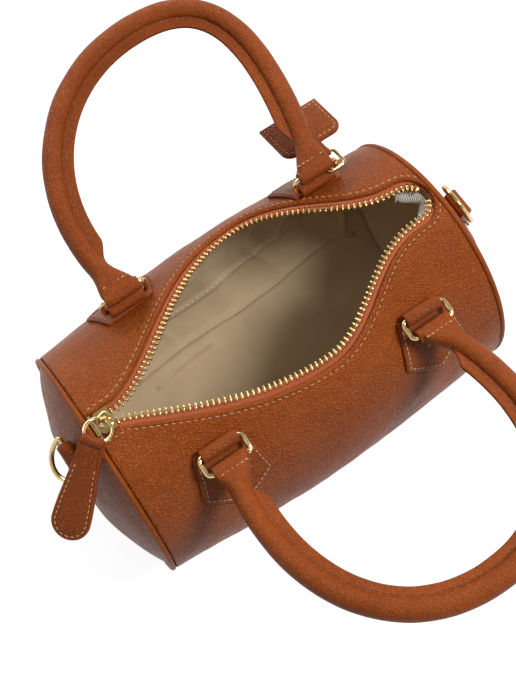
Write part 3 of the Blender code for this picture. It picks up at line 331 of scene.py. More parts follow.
brown_thread = thread("brown_thread", "cognac_leather", (150, 84, 44), (98, 50, 26))
lining_thread = thread("lining_thread", "beige_lining", (236, 222, 194), (196, 178, 146))
tab_look = herringbone()
board_look = plain_board("board", "board", (112, 96, 78), (74, 62, 50))
core_look = plain_board("core", "handle_core", (188, 178, 158), (140, 130, 110))


# Building pieces


def link(name, data, look, body, *nodes):
    obj = add_object(name, data)
    data.materials.append(look)
    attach(obj, body)
    if nodes:
        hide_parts(*nodes)
    return obj


def smooth_mesh(name, bm):
    mesh = bpy.data.meshes.new(name)
    bm.to_mesh(mesh)
    bm.free()
    mesh.shade_smooth()
    return mesh


def finish_mesh(name, bm, look, body, *nodes, tidy=True):
    if tidy:
        bmesh.ops.recalc_face_normals(bm, faces=bm.faces)
    return link(name, smooth_mesh(name, bm), look, body, *nodes)


def thicken(obj, thickness, even=True):
    solid = obj.modifiers.new("thickness", "SOLIDIFY")
    solid.thickness, solid.offset, solid.use_even_offset = thickness, -1, even
    return obj


def turns(count):
    return [tau * i / count for i in range(count)]


def runs_of(points):
    """How far along its polyline each point lies."""
    total = [0.0]
    for first, second in zip(points, points[1:]):
        total.append(total[-1] + (second - first).length)
    return total


def sheet_mesh(bm, rows, outward=None, closed=False):
    """A grid of points as faces with UVs in metres. closed joins each row's last point to its first."""
    layer = bm.loops.layers.uv.verify()
    grid = [[bm.verts.new(point) for point in row] for row in rows]
    us = runs_of([row[len(row) // 2] for row in rows])
    vs = runs_of(rows[len(rows) // 2])
    columns = len(rows[0])
    faces = []
    for i in range(len(rows) - 1):
        for j in range(columns if closed else columns - 1):
            k = (j + 1) % columns
            face = bm.faces.new((grid[i][j], grid[i][k], grid[i + 1][k], grid[i + 1][j]))
            last = vs[j] + vs[1] if k == 0 else vs[k]
            spots = ((us[i], vs[j]), (us[i], last), (us[i + 1], last), (us[i + 1], vs[j]))
            for loop, spot in zip(face.loops, spots):
                loop[layer].uv = spot
            faces.append(face)
    if outward:
        bm.normal_update()
        if sum(face.normal.dot(outward(face.calc_center_median())) for face in faces) < 0:
            bmesh.ops.reverse_faces(bm, faces=faces)
    return grid


def sheet(name, rows, look, node, thickness, outward):
    bm = bmesh.new()
    sheet_mesh(bm, rows, outward)
    return thicken(finish_mesh(name, bm, look, "bag", node, tidy=False), thickness)


def loft(bm, sections):
    grid = sheet_mesh(bm, sections, closed=True)
    bm.faces.new(reversed(grid[0]))
    bm.faces.new(grid[-1])


def lofted(name, sections, look, body, *nodes):
    bm = bmesh.new()
    loft(bm, sections)
    return finish_mesh(name, bm, look, body, *nodes)


def wire(name, points, radius, look, body, *nodes, cyclic=True):
    curve = bpy.data.curves.new(name, "CURVE")
    curve.dimensions = "3D"
    curve.bevel_depth = radius
    curve.bevel_resolution = 5
    curve.use_fill_caps = not cyclic
    spline = curve.splines.new("POLY")
    spline.points.add(len(points) - 1)
    for target, point in zip(spline.points, points):
        target.co = (*point, 1)
    spline.use_cyclic_u = cyclic
    spline.use_smooth = True
    return link(name, curve, look, body, *nodes)


def bowed(turn, width, depth, square):
    """A point of a rounded box outline. square is 1 for an ellipse and less for a boxier form."""
    return tuple(copysign(abs(v) ** square, v) * half for v, half in ((cos(turn), width), (sin(turn), depth)))


def superellipse(count, width, depth, square):
    return [bowed(tau * (k + 0.5) / count, width, depth, square) for k in range(count)]


def resample(points, normals, pitch):
    """Even steps along a polyline, each with its direction and the surface normal there."""
    total = runs_of(points)
    count = max(int(total[-1] / pitch), 1)
    step = total[-1] / count
    found, i = [], 0
    for m in range(count):
        run = (m + 0.5) * step
        while total[i + 1] < run:
            i += 1
        share = (run - total[i]) / (total[i + 1] - total[i])
        point = points[i].lerp(points[i + 1], share)
        normal = normals[i].lerp(normals[i + 1], share).normalized()
        found.append((point, (points[i + 1] - points[i]).normalized(), normal))
    return found


def stitch_row(bm, points, normals, pitch=0.0029, length=0.0020, radius=0.00030, lean=0.10):
    """Thread seen as a row of short humps, each dipping into the leather at both ends."""
    for middle, direction, normal in resample(points, normals, pitch):
        side = direction.cross(normal).normalized()
        along = (direction + side * lean).normalized()
        across = along.cross(normal).normalized()
        sections = []
        for share in (-1, -0.82, -0.45, 0, 0.45, 0.82, 1):
            lift = radius * (0.75 * (1 - share**4) - 0.45)
            wide = radius * (1 - 0.55 * share**6)
            centre = middle + along * length / 2 * share + normal * lift
            sections.append([centre + across * wide * cos(turn) + normal * wide * sin(turn) for turn in turns(6)])
        loft(bm, sections)


def stitches(name, seams, look, body, **sizes):
    bm = bmesh.new()
    for points, normals in seams:
        stitch_row(bm, points, normals, **sizes)
    return finish_mesh(name, bm, look, body)


# Barrel surface and mouth


def side_radius(side, x):
    """The barrel's half width. It bellies out, and the back grows from the left end to the right."""
    share = clamp(x / BODY_LENGTH + 0.5)
    belly = sin(pi * share)
    if side < 0:
        return END_RADIUS + FRONT_BULGE * belly
    return END_RADIUS + REAR_BULGE * belly + REAR_LEFT_GROWTH * (1 - share) + REAR_RIGHT_GROWTH * share


def skin(x, angle, depth=0.0):
    half_width = side_radius(sin(angle), x) - depth
    return Vector((x, half_width * sin(angle), AXIS_HEIGHT + (END_RADIUS - depth) * cos(angle)))


def skin_normal(angle):
    return Vector((0, sin(angle), cos(angle)))


def smooth_step(value):
    value = clamp(value)
    return value * value * (3 - 2 * value)


def waver(*place):
    return noise.noise(Vector(place))


def swell(x, right_x, powers):
    if x < MOUTH_PEAK_X:
        share, power = (MOUTH_PEAK_X - x) / (MOUTH_PEAK_X - MOUTH_LEFT_X), powers[0]
    else:
        share, power = (x - MOUTH_PEAK_X) / (right_x - MOUTH_PEAK_X), powers[1]
    return cos(pi / 2 * min(share, 1)) ** power


def open_angle(side, x):
    """The angle of a row of teeth before its far end curls in."""
    near = ROW_SPREAD / END_RADIUS
    drift = smooth_step((x - MOUTH_LEFT_X) / (BODY_LENGTH / 2 - MOUTH_LEFT_X))
    opened = pick(SWEEPS, side) * swell(x, pick(MOUTH_RIGHT_XS, side), pick(SWELL_POWERS, side))
    return side * (near + (pick(END_ANGLES, side) - near) * drift + opened)


def offset_angle(side, x, distance):
    step = BODY_LENGTH / 1000
    slope = END_RADIUS * (open_angle(side, x + step) - open_angle(side, x - step)) / (2 * step)
    return open_angle(side, x) + side * distance / END_RADIUS * hypot(1, slope)


def mouth_middle(x):
    return (open_angle(-1, x) + open_angle(1, x)) / 2


def edge_angle(side, x, distance, reach):
    """The angle of a line beside a row that closes round the far end of the mouth within its reach."""
    share, middle = clamp((x - CLOSE_X) / reach), mouth_middle(x)
    return middle + (offset_angle(side, x, distance) - middle) * sqrt(1 - share**2)


def row_angle(side, x):
    return edge_angle(side, x, 0.0, ROW_CLOSE_REACH)


def lip_angle(side, x, distance):
    """The angle of a line at a distance from the leather's edge. Past the mouth the two edges meet."""
    closed = mouth_middle(x) + side * (SEAT / 2 + distance) / END_RADIUS
    opened = edge_angle(side, x, MOUTH_LEATHER_GAP + distance, LEATHER_CLOSE_REACH + distance)
    return side * max(side * opened, side * closed)


def mouth_stations(start, end, coarse, fine):
    """Even stations up to where the mouth closes, and finer ones round its end."""
    low = [start + (CLOSE_X - start) * i / coarse for i in range(coarse)]
    return low + [CLOSE_X + (end - CLOSE_X) * sin(pi / 2 * i / fine) for i in range(fine + 1)]


def stations(half_length, count):
    return [half_length * (2 * i / (count - 1) - 1) for i in range(count)]


def away_from_axis(point):
    return Vector((0, point.y, point.z - AXIS_HEIGHT))


def dent(x, angle):
    """How far the leather sinks from the plain barrel, with soft hollows and slack near the base."""
    ends = smooth_step((PANEL_HALF_LENGTH - abs(x)) / 0.018)
    base = smooth_step((BASE_EDGE_ANGLE - abs(angle)) * END_RADIUS / 0.018)
    wide = waver(x * 22, angle * 1.7, 3.1) + 0.5 * waver(x * 48, angle * 3.4, 9.7)
    small = waver(x * 130, angle * 7.5, 5.2)
    return ends * base * (0.0006 - 0.0011 * wide - 0.00022 * small)


def hide(x, angle, lift=0.0):
    """A point on the leather's outer face, or lifted above it."""
    side = 1 if sin(angle) > 0 else -1
    edge = smooth_step((side * angle - side * lip_angle(side, x, 0.0)) * END_RADIUS / 0.02)
    return skin(x, angle, dent(x, angle) * edge - lift)


# The lip's section: distances from the leather's edge, and depths below its outer face
LIP = ((0.0004, 0.0021), (0.0001, 0.0016), (0.0, 0.0010), (0.00012, 0.00045), (0.0004, 0.00005),
       (0.0008, -0.00026), (0.0013, -0.00040), (0.0018, -0.00032), (0.0022, -0.00008), (0.0026, 0.00018),
       (0.0029, 0.00022), (0.0033, 0.00012), (0.0042, -0.00004), (0.0055, 0.0))
WALL_STATIONS, WALL_ROWS = 150, 84


def wall(side, name, node):
    rows = []
    for x in mouth_stations(-PANEL_HALF_LENGTH, PANEL_HALF_LENGTH, WALL_STATIONS, 40):
        ripple = 1 + 0.5 * waver(x * 260, side, 1.0)
        row = [skin(x, lip_angle(side, x, distance), depth * (ripple if depth < 0.0004 else 1))
               for distance, depth in LIP]
        start = lip_angle(side, x, LIP[-1][0])
        spread = side * BASE_EDGE_ANGLE - start
        rows.append(row + [hide(x, start + spread * j / (WALL_ROWS - 1)) for j in range(1, WALL_ROWS)])
    sheet(name, rows, hide_look, node, LEATHER - 0.0002, away_from_axis)
    seam = mouth_stations(0.002 - PANEL_HALF_LENGTH, PANEL_HALF_LENGTH, 240, 60)
    path = [skin(x, lip_angle(side, x, STITCH_MARGIN), 0.00004) for x in seam]
    return path, [skin_normal(row_angle(side, x)) for x in seam]


def dome_rise(side, share, rise):
    """How far the end stands out. Its soft leather sags a little further out than the solid round the middle."""
    return rise * (1 - share**DOME_POWER) + pick(DOME_SAGS, side) * smooth_step((0.72 - share) / 0.38)


def end_outline(x, radius_margin, base_margin, count):
    """The end's D shape: round, with a flat along the base and eased corners."""
    ease, points = 0.0010, []
    for angle in turns(count):
        reach = END_RADIUS - radius_margin
        stretch = (side_radius(sin(angle), x) - radius_margin) / reach
        if cos(angle) < 0:
            flat = (base_margin - AXIS_HEIGHT) / cos(angle)
            reach = -ease * log(exp(-reach / ease + 60) + exp(-flat / ease + 60)) + ease * 60
        points.append(Vector((0, reach * stretch * sin(angle), reach * cos(angle))))
    return points


DOME_RINGS, DOME_POINTS, DOME_HUB = 41, 132, 0.004


def domed_end(name, node, side, look, rim_x, rise, thickness, radius_margin, base_margin, slack):
    outward = ALONG * side

    def spot(share, point):
        near = AXIS + point * share
        wobble = slack * (1 - share**4) * noise.noise(near * 34 + outward * 7)
        return near + outward * (rim_x + dome_rise(side, share, rise) - abs(wobble))

    outline = end_outline(side * rim_x, radius_margin, base_margin, DOME_POINTS)
    shares = [max(k / DOME_RINGS, DOME_HUB) for k in range(DOME_RINGS + 1)]
    bm = bmesh.new()
    rows = [[spot(share, point) for point in outline] for share in shares]
    grid = sheet_mesh(bm, rows, lambda point: outward, closed=True)
    bm.faces.new(grid[0] if side > 0 else reversed(grid[0]))
    bm.normal_update()
    thicken(finish_mesh(name, bm, look, "bag", node), thickness, even=False)


def build_body():
    seams = [wall(-1, "front_leather", "front_panel"), wall(1, "back_leather", "back_panel")]
    stitches("mouth_stitches", seams, pale_thread, "bag", pitch=0.0034, length=0.0019, radius=0.00024)
    base = []
    for x in stations(PANEL_HALF_LENGTH, 60):
        back, front = [abs(skin(x, side * BASE_EDGE_ANGLE).y) - LEATHER - SEAT for side in (1, -1)]
        base.append([Vector((x, (back + front) * j / 30 - front, 0)) for j in range(31)])
    sheet("base_leather", base, hide_look, "base_panel", LEATHER, lambda point: -UP)
    for word, side in ENDS:
        domed_end(word + "_end_leather", word + "_end_panel", side, end_look, BODY_LENGTH / 2, DOME_RISE, LEATHER,
                  2 * PIPING_RADIUS - PIPING_PROUD + SEAT / 2, 2 * PIPING_RADIUS + SEAT, 0.0016)
        x = side * BODY_LENGTH / 2
        outline = end_outline(x, PIPING_RADIUS - PIPING_PROUD, PIPING_RADIUS, 200)
        points = [Vector((x, 0, AXIS_HEIGHT)) + point for point in outline]
        wire(word + "_welt", points, PIPING_RADIUS, welt_look, "bag", word + "_piping")


# Lining

# Thin folds that the slack lining keeps: a height, a half width, and places along its line (metres, degrees)
CREASES = (
    (0.0024, 0.0013, ((-0.060, 139), (-0.027, 138), (0.009, 139), (0.035, 137), (0.070, 130), (0.082, 131),
                      (0.088, 134))),
    (0.0016, 0.0014, ((-0.052, 149), (-0.038, 146), (-0.014, 145))),
    (0.0018, 0.0014, ((0.084, 104), (0.088, 119), (0.085, 130))),
)
LINING_ROWS, POCKET_ROWS = 280, 59


def crease_height(x, angle):
    total = 0.0
    for rise, wide, line in CREASES:
        nearest = 1.0
        for (x0, turn0), (x1, turn1) in zip(line, line[1:]):
            ax, ay = x0, radians(turn0) * END_RADIUS
            bx, by = x1 - x0, radians(turn1) * END_RADIUS - ay
            px, py = x - ax, angle * END_RADIUS - ay
            share = clamp((px * bx + py * by) / (bx * bx + by * by))
            nearest = min(nearest, hypot(px - bx * share, py - by * share))
        total += rise * exp(-(nearest / wide) ** 2)
    return total


def fold(x, angle):
    """How far the slack lining hangs in from the wall, in soft folds that run down it."""
    ends = smooth_step((LINING_HALF_LENGTH - abs(x)) / 0.015)
    upright = smooth_step((abs(angle - pi) - 0.6) / 0.8)
    lean = x + 0.010 * waver(angle * 1.4, x * 9, 6.0)
    wave = waver(lean * 46, angle * 0.8, 2.0)
    ridge = max(1 - abs(waver(lean * 31, angle * 0.7, 7.0)) * 4.5, 0) ** 2
    small = waver(x * 95, angle * 5, 4.0)
    slack = 0.0030 * smooth_step((angle - 0.9) / 0.8) * smooth_step((2.6 - angle) / 0.9)
    folds = upright * (0.0018 * wave + 0.0018 * ridge)
    return ends * (0.0012 + slack + folds + 0.0004 * small) + crease_height(x, angle)


def build_lining():
    rows = []
    for x in stations(LINING_HALF_LENGTH, 200):
        first = offset_angle(-1, x, LINING_EDGE_GAP) + tau
        last = offset_angle(1, x, LINING_EDGE_GAP)
        row = []
        for j in range(LINING_ROWS + 1):
            angle = last + (first - last) * j / LINING_ROWS
            hem = smooth_step(min(j, LINING_ROWS - j) / 18)
            point = skin(x, angle, LINING_DEPTH + max(fold(x, angle), 0) * hem)
            point.z = max(point.z, LINING_LEVEL + LINING + 0.0006 * waver(x * 40, angle * 8, 1.0))
            row.append(point)
        rows.append(row)
    cloth_piece = sheet("lining_cloth", rows, lining_look, "lining", LINING, away_from_axis)
    for word, side in ENDS:
        domed_end("lining_cloth_" + word, "lining_" + word + "_end", side, lining_look,
                  BODY_LENGTH / 2 - LEATHER - LAYER_GAP, DOME_RISE - LAYER_GAP, LINING,
                  LINING_DEPTH + LINING + 0.0010, LINING_LEVEL + LINING + 0.0010, 0.0030)
    pocket = []
    for x in stations(POCKET_HALF_LENGTH, 100):
        sag = POCKET_SAG * cos(pi / 2 * min(abs(x + 0.010) / 0.080, 1)) ** 2
        row = []
        for j in range(POCKET_ROWS + 1):
            angle = POCKET_TOP + (POCKET_BOTTOM + sag - POCKET_TOP) * j / POCKET_ROWS
            bulge = 0.0014 * sin(pi * j / POCKET_ROWS) * (1 - (x / POCKET_HALF_LENGTH) ** 2)
            hem = 0.0007 * smooth_step((j - 52) / 3)
            row.append(skin(x, angle, LINING_DEPTH + LINING + 0.0012 + max(fold(x, angle), 0) + bulge + hem))
        pocket.append(row)
    slip = sheet("slip_pocket_cloth", pocket, lining_look, "slip_pocket", 0.0006, away_from_axis)
    seams = []
    for j in (1, 55):
        path = [row[j] + (AXIS - row[j]).normalized() * 0.0007 for row in pocket]
        seams.append((path, [-away_from_axis(point).normalized() for point in path]))
    stitches("pocket_stitches", seams, lining_thread, "bag", pitch=0.0034, length=0.0024, radius=0.00032)


# Zip


# A tooth's sections from its root to its tip, in millimetres: a place, a half width and a half height
TOOTH_SHAPE = ((-1.2, 0.50, 0.60), (-1.05, 0.72, 1.0), (0.4, 0.80, 1.22), (1.0, 0.72, 1.05), (1.6, 0.58, 0.82),
               (2.0, 0.62, 0.92), (2.4, 0.56, 0.86), (2.65, 0.34, 0.5))
# The slider's crown: a scale and a rise above the top plate for each section
CROWN_SHAPE = ((1.0, -0.0002), (1.0, 0.0001), (0.94, 0.00035), (0.78, 0.00055), (0.45, 0.00066), (0.08, 0.0007))
CROWN_LENGTH, CROWN_WIDTH = 0.0036, 0.0040
# Places across the tape, closer where it is ribbed beside the teeth
TAPE_PLACES = [0.0003, 0.0008, 0.0013] + [0.0013 + (TAPE_WIDTH - 0.0013) * k / 12 for k in range(1, 13)]
# Rows of knitted loops on the tape: a distance from the teeth and a lean
TAPE_KNIT = ((0.0016, 0.55), (0.0021, -0.55), (0.0027, 0.55))


def tooth(bm, point, inward, direction, normal):
    loft(bm, [[point + inward * a * 0.001 + direction * b + normal * c
               for b, c in superellipse(10, wide * 0.001, high * 0.001, 0.6)] for a, wide, high in TOOTH_SHAPE])


def beside_row(side, x, distance, depth):
    return skin(x, edge_angle(side, x, distance, ROW_CLOSE_REACH + distance), depth)


def build_zip():
    for word, side in WALLS:
        rows = []
        for x in mouth_stations(-ROW_HALF_LENGTH, ROW_HALF_LENGTH + TAPE_END, 180, 40):
            rows.append([beside_row(side, x, distance, TAPE_DEPTH - 0.0002 * sin(2200 * distance))
                         for distance in TAPE_PLACES])
        sheet(word + "_tape", rows, tape_look, word + "_zip_tape", TAPE, away_from_axis)
        run = mouth_stations(-ROW_HALF_LENGTH, ROW_HALF_LENGTH, 460, 120)
        fine = [skin(x, row_angle(side, x), ROW_DEPTH) for x in run]
        normals = [skin_normal(row_angle(side, x)) for x in run]
        bm = bmesh.new()
        for point, direction, normal in resample(fine, normals, TOOTH_PITCH):
            tooth(bm, point, direction.cross(normal).normalized() * side, direction, normal)
        finish_mesh(word + "_teeth", bm, brass_look, "bag", word + "_zip_teeth")
        cord = [point - normal * 0.0002 for point, direction, normal in resample(fine, normals, 0.0009)]
        wire(word + "_tape_cord", cord, 0.00108, tape_look, "bag", cyclic=False)
        chain = bmesh.new()
        for distance, lean in TAPE_KNIT:
            path = [beside_row(side, x, distance, TAPE_DEPTH - 0.00008) for x in run]
            stitch_row(chain, path, normals, pitch=0.0011, length=0.0013, radius=0.00030, lean=lean)
        finish_mesh(word + "_tape_chain", chain, tape_thread, "bag")
    dress("zip_slider", cast_look, 0.00030)
    dress("zip_bottom_stop", cast_look, 0.00022)
    top = slider_level() + SLIDER_PLATE
    sections = []
    for scale, rise in CROWN_SHAPE:
        sections.append([Vector((SLIDER_X + a * scale, b * scale * (1 + 0.22 * a / CROWN_LENGTH), top + rise))
                         for a, b in superellipse(36, CROWN_LENGTH, CROWN_WIDTH, 0.7)])
    lofted("slider_crown", sections, gold_look, "slider")
    centre, out, across = pull_ring_frame()
    points = [centre + (out * cos(turn) + across * sin(turn)) * PULL_RING_RADIUS
              for turn in turns(64)]
    wire("gold_pull_ring", points, PULL_RING_WIRE, gold_look, "pull_ring", "pull_ring")
    build_puller(centre, out, across)
    build_end_tab()


def dress(node, look, bevel=0.0):
    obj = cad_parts[node]
    obj.data.materials.clear()
    obj.data.materials.append(look)
    if bevel:
        edge = obj.modifiers.new("edge", "BEVEL")
        edge.width = bevel
        edge.segments = 2
        edge.limit_method = "ANGLE"


def slider_level():
    """The height of the underside of the slider's top plate."""
    return AXIS_HEIGHT + END_RADIUS - ROW_DEPTH + TOOTH_HALF_HEIGHT + SLIDER_CLEARANCE


def pull_ring_frame():
    hold = Vector((SLIDER_X, 0, slider_level() + SLIDER_PLATE / 2 + BAIL_RISE))
    heading = Vector((-cos(PULLER_YAW), -sin(PULLER_YAW), 0))
    out = heading * cos(PULL_RING_TILT) + UP * sin(PULL_RING_TILT)
    hold = hold - UP * (BAIL_RADIUS + PULL_RING_WIRE + SEAT)
    return hold + out * PULL_RING_RADIUS, out, UP.cross(out).normalized()


def strap(name, span, half_width, place, thickness, look, body, *nodes, margin=0.0020, puff=0.0004):
    """A leather strap with rounded edges, a dip along its seam and a padded middle.

    half_width gives its half width at a distance along it, and place is its origin, direction and side.
    """
    origin, along, across = place
    normal = along.cross(across).normalized()
    start, end = span

    def height(a, wide, slope, share):
        edge = min(wide * (1 - abs(share)) / hypot(1, slope), a - start, end - a)
        round_off = sqrt(max(1 - (1 - clamp(edge / 0.0007)) ** 2, 0))
        dip = 0.00016 * exp(-((edge - margin) / 0.0005) ** 2)
        return thickness / 2 * (0.4 + 0.6 * round_off) - dip + puff * smooth_step((edge - margin) / 0.003)

    shares = [-cos(pi * j / 44) for j in range(45)]
    sections = []
    for i in range(91):
        a = start + (end - start) * (1 - cos(pi * i / 90)) / 2
        wide = max(half_width(a), 0.0002)
        slope = (half_width(min(a + 0.0001, end)) - half_width(max(a - 0.0001, start))) / 0.0002
        lifts = [height(a, wide, slope, share) for share in shares]
        centre = origin + along * a
        top = [centre + across * wide * share + normal * lift for share, lift in zip(shares, lifts)]
        under = [centre + across * wide * share - normal * lift for share, lift in zip(shares, lifts)]
        sections.append(top + under[::-1])
    return lofted(name, sections, look, body, *nodes)


def seam_on(place, height, outline):
    """A stitch path from (along, across) sizes on a strap's face. A negative height is on its other face."""
    origin, along, across = place
    normal = along.cross(across).normalized()
    path = [origin + along * a + across * b + normal * height for a, b in outline]
    return path, [normal * (1 if height > 0 else -1)] * len(path)


def puller_half(a):
    """Half the puller's width: narrow shoulders at the ring, and a round tip."""
    top, wide = PULLER_TOP_WIDTH / 2, PULLER_WIDTH / 2
    half = top + (wide - top) * smooth_step((a - 0.003) / 0.040)
    tip = PULLER_LENGTH - wide
    return half * sqrt(max(1 - (max(a - tip, 0) / wide) ** 2, 0))


def build_puller(centre, out, across):
    eye = centre + out * PULL_RING_RADIUS
    along = Vector((out.x, out.y, 0)).normalized() * cos(PULLER_DROP) - UP * sin(PULLER_DROP)
    if along.cross(across).z < 0:
        across = -across
    place = (eye, along, across)
    span = (0.0006, PULLER_LENGTH)
    strap("leather_puller", span, puller_half, place, PULLER_THICKNESS, strap_look, "puller", "zip_puller")
    bar, tip, inner = 0.0125, PULLER_LENGTH - PULLER_WIDTH / 2, PULLER_WIDTH / 2 - PULLER_MARGIN
    side = [(a, puller_half(a) - PULLER_MARGIN) for a in (bar + (tip - bar) * i / 20 for i in range(20))]
    round_tip = [(tip + inner * sin(turn), inner * cos(turn)) for turn in (pi * i / 24 for i in range(25))]
    whole = side + round_tip + [(a, -b) for a, b in reversed(side)]
    outlines = (whole, [(bar, 0.0035 * (1 - i)) for i in range(3)])
    lift = PULLER_THICKNESS / 2 - 0.00012
    seams = [seam_on(place, sign * lift, outline) for sign in (-1, 1) for outline in outlines]
    stitches("puller_stitches", seams, pale_thread, "puller", **FINE_STITCH)
    width, bore = PULLER_TOP_WIDTH * 0.86, PULL_RING_WIRE + 0.0002
    roll("puller_fold", eye, across, width, PULLER_EYE, bore, strap_look, "puller")


def roll(name, centre, axis, length, outer, inner, look, body):
    """Leather folded round a bar: a short open tube with rounded rims."""
    first = axis.orthogonal().normalized()
    second = axis.cross(first).normalized()
    rim = min(0.0005, (outer - inner) * 0.4)
    eased = outer - rim * 0.3
    profile = [(inner, -1, 0), (outer - rim, -1, 0), (eased, -1, rim * 0.3), (outer, -1, rim), (outer, -0.5, 0),
               (outer, 0, 0), (outer, 0.5, 0), (outer, 1, -rim), (eased, 1, -rim * 0.3), (outer - rim, 1, 0),
               (inner, 1, 0), (inner, 0, 0)]
    rows = []
    for turn in turns(40):
        ray = first * cos(turn) + second * sin(turn)
        row = []
        for radius, place, shift in profile:
            if radius > inner:
                radius += 0.00012 * noise.noise((centre + ray * 0.004) * 400 + axis * place * 3)
            row.append(centre + ray * radius + axis * (place * length / 2 + shift))
        rows.append(row)
    rows.append(rows[0])
    bm = bmesh.new()
    sheet_mesh(bm, rows, closed=True)
    bmesh.ops.remove_doubles(bm, verts=bm.verts, dist=1e-7)
    return finish_mesh(name, bm, look, body)


def build_end_tab():
    """Striped tape folded into two soft loops that close the far end of the zip, under its last teeth."""
    middle = mouth_middle(CLOSE_X)
    centre = skin(CLOSE_X - 0.006, middle, LINING_DEPTH)
    rows = []
    for i in range(61):
        u = -1.15 + 2.10 * i / 60
        side, turn = (1 if u < 0 else -1), pi / 2 * min(abs(u), 1)
        x = CLOSE_X + (ROW_CLOSE_REACH - 0.0008) * cos(turn) - 0.0095 * max(abs(u) - 1, 0)
        angle = middle + (offset_angle(side, x, 0.0) - middle) * sin(turn)
        top = skin(x, angle, LINING_DEPTH + LINING + LAYER_GAP)
        inward = Vector((centre.x - top.x, centre.y - top.y, 0)).normalized()
        lobe = abs(sin(pi * min(abs(u), 1))) ** 0.6
        row = []
        for j in range(29):
            d = j / 28
            puff = (0.0012 + 0.0030 * lobe) * sin(pi * min(d * 1.15, 1)) ** 0.8 + 0.0018 * d
            row.append(top + inward * puff - UP * (TAB_DEPTH * 0.62 * d * (0.80 + 0.20 * lobe)))
        rows.append(row)
    sheet("striped_tab", rows, tab_look, "zip_end_tab", 0.0008, lambda point: UP)


# Handles


def foot_x(side, end):
    return pick(pick(FEET_X, side), end)


def loop_centre(side, x):
    """The loops of one side share one axis, so both take the place of the one further out."""
    points = [skin(foot_x(side, end), side * pick(LOOP_ANGLES, side), -LOOP_STANDOFF) for end in (-1, 1)]
    level = max(points, key=lambda point: side * point.y)
    return Vector((x, level.y, level.z))


def tilted(side, tilt):
    return Vector((0, side * sin(tilt), cos(tilt)))


def foot_centre(side, end):
    """The middle of the handle's end, which hangs on the far bar of its ring."""
    return loop_centre(side, foot_x(side, end)) + tilted(side, pick(RING_TILTS, side)) * RING_SPAN


def rounded_outline(half_x, half_y, corner, steps=9):
    points = []
    for quarter, (sx, sy) in enumerate(((1, 1), (-1, 1), (-1, -1), (1, -1))):
        for i in range(steps):
            turn = pi / 2 * (quarter + i / (steps - 1))
            points.append((sx * (half_x - corner) + corner * cos(turn),
                           sy * (half_y - corner) + corner * sin(turn)))
    return points


def link_points(centre, along, length, out, width, corner):
    outline = rounded_outline(length / 2, width / 2, corner)
    return [centre + along * a + out * b for a, b in outline]


def bezier(points, share):
    a, b, c, d = points
    rest = 1 - share
    return a * rest**3 + b * (3 * rest**2 * share) + c * (3 * rest * share**2) + d * share**3


def handle_arch(side):
    lean = tilted(side, pick(HANDLE_TILTS, side))
    left, right = foot_centre(side, -1), foot_centre(side, 1)
    apex = (left + right) / 2 + ALONG * pick(APEX_SHIFTS, side) + lean * pick(HANDLE_HEIGHTS, side)
    leg, splay = lean * cos(HANDLE_SPLAY), ALONG * sin(HANDLE_SPLAY)
    first = [left, left + (leg - splay) * HANDLE_LEG_PULL, apex - ALONG * HANDLE_TOP_PULL, apex]
    second = [apex, apex + ALONG * HANDLE_TOP_PULL, right + (leg + splay) * HANDLE_LEG_PULL, right]
    return [bezier(first, i / 150) for i in range(150)] + [bezier(second, i / 150) for i in range(151)], lean


TUBE_POINTS, FLANGE_POINTS, HANDLE_SECTIONS = 34, 7, 300


def tube_outline(flange, run, seed):
    """The rolled handle's section: a tube whose two edges meet in a stitched flange on the inner side."""
    half = FLANGE_THICKNESS / 2
    opening = asin(half / HANDLE_RADIUS)
    outline = []
    for k in range(TUBE_POINTS):
        turn = opening + (tau - 2 * opening) * k / (TUBE_POINTS - 1)
        near = min(turn - opening, tau - opening - turn)
        gather = exp(-near / 0.55) * (1 - exp(-near / 0.12)) * flange
        crease = waver(run * 330, seed + (5 if turn > pi else 0), near * 0.8)
        slack = waver(run * 70, seed, turn * 0.8)
        radius = HANDLE_RADIUS + 0.00085 * gather * crease + 0.00022 * slack
        radius -= 0.0005 * exp(-near / 0.10) * flange
        outline.append((radius * cos(turn), radius * sin(turn)))
    root, tip = HANDLE_RADIUS * cos(opening), HANDLE_RADIUS + FLANGE_HEIGHT * flange
    sway = 0.00025 * waver(run * 90, seed, 8.0) * flange
    lower = []
    for k in range(1, FLANGE_POINTS + 1):
        share = k / FLANGE_POINTS
        thick = half * (1 - 0.10 * sin(pi * share)) * (0.86 if share == 1 else 1)
        lower.append((root + (tip - 0.0004 * flange - root) * share, sway * share - thick))
    middle = [(tip, sway - half * 0.45), (tip - 0.00030 * flange, sway), (tip, sway + half * 0.45)]
    return outline + lower + middle + [(a, -b) for a, b in reversed(lower)]


def tongue_spot(a, b, blend, run, near, seed):
    """A point of the handle's flat creased end, from a point of the tube that it turns into."""
    flat = EYE_RADIUS * 0.92
    wide = TONGUE_WIDTH / 2 + (HANDLE_RADIUS - TONGUE_WIDTH / 2) * blend
    deep = flat + (HANDLE_RADIUS - flat) * blend
    out, lift = bowed(atan2(b, a), wide, deep, 0.35 + 0.65 * blend)
    ease = sin(pi * min(near / 0.026, 1))
    crease = 0.0005 * waver(run * 110, a * 420, seed + (1 if b > 0 else 0)) * ease
    return out, lift + copysign(crease, lift)


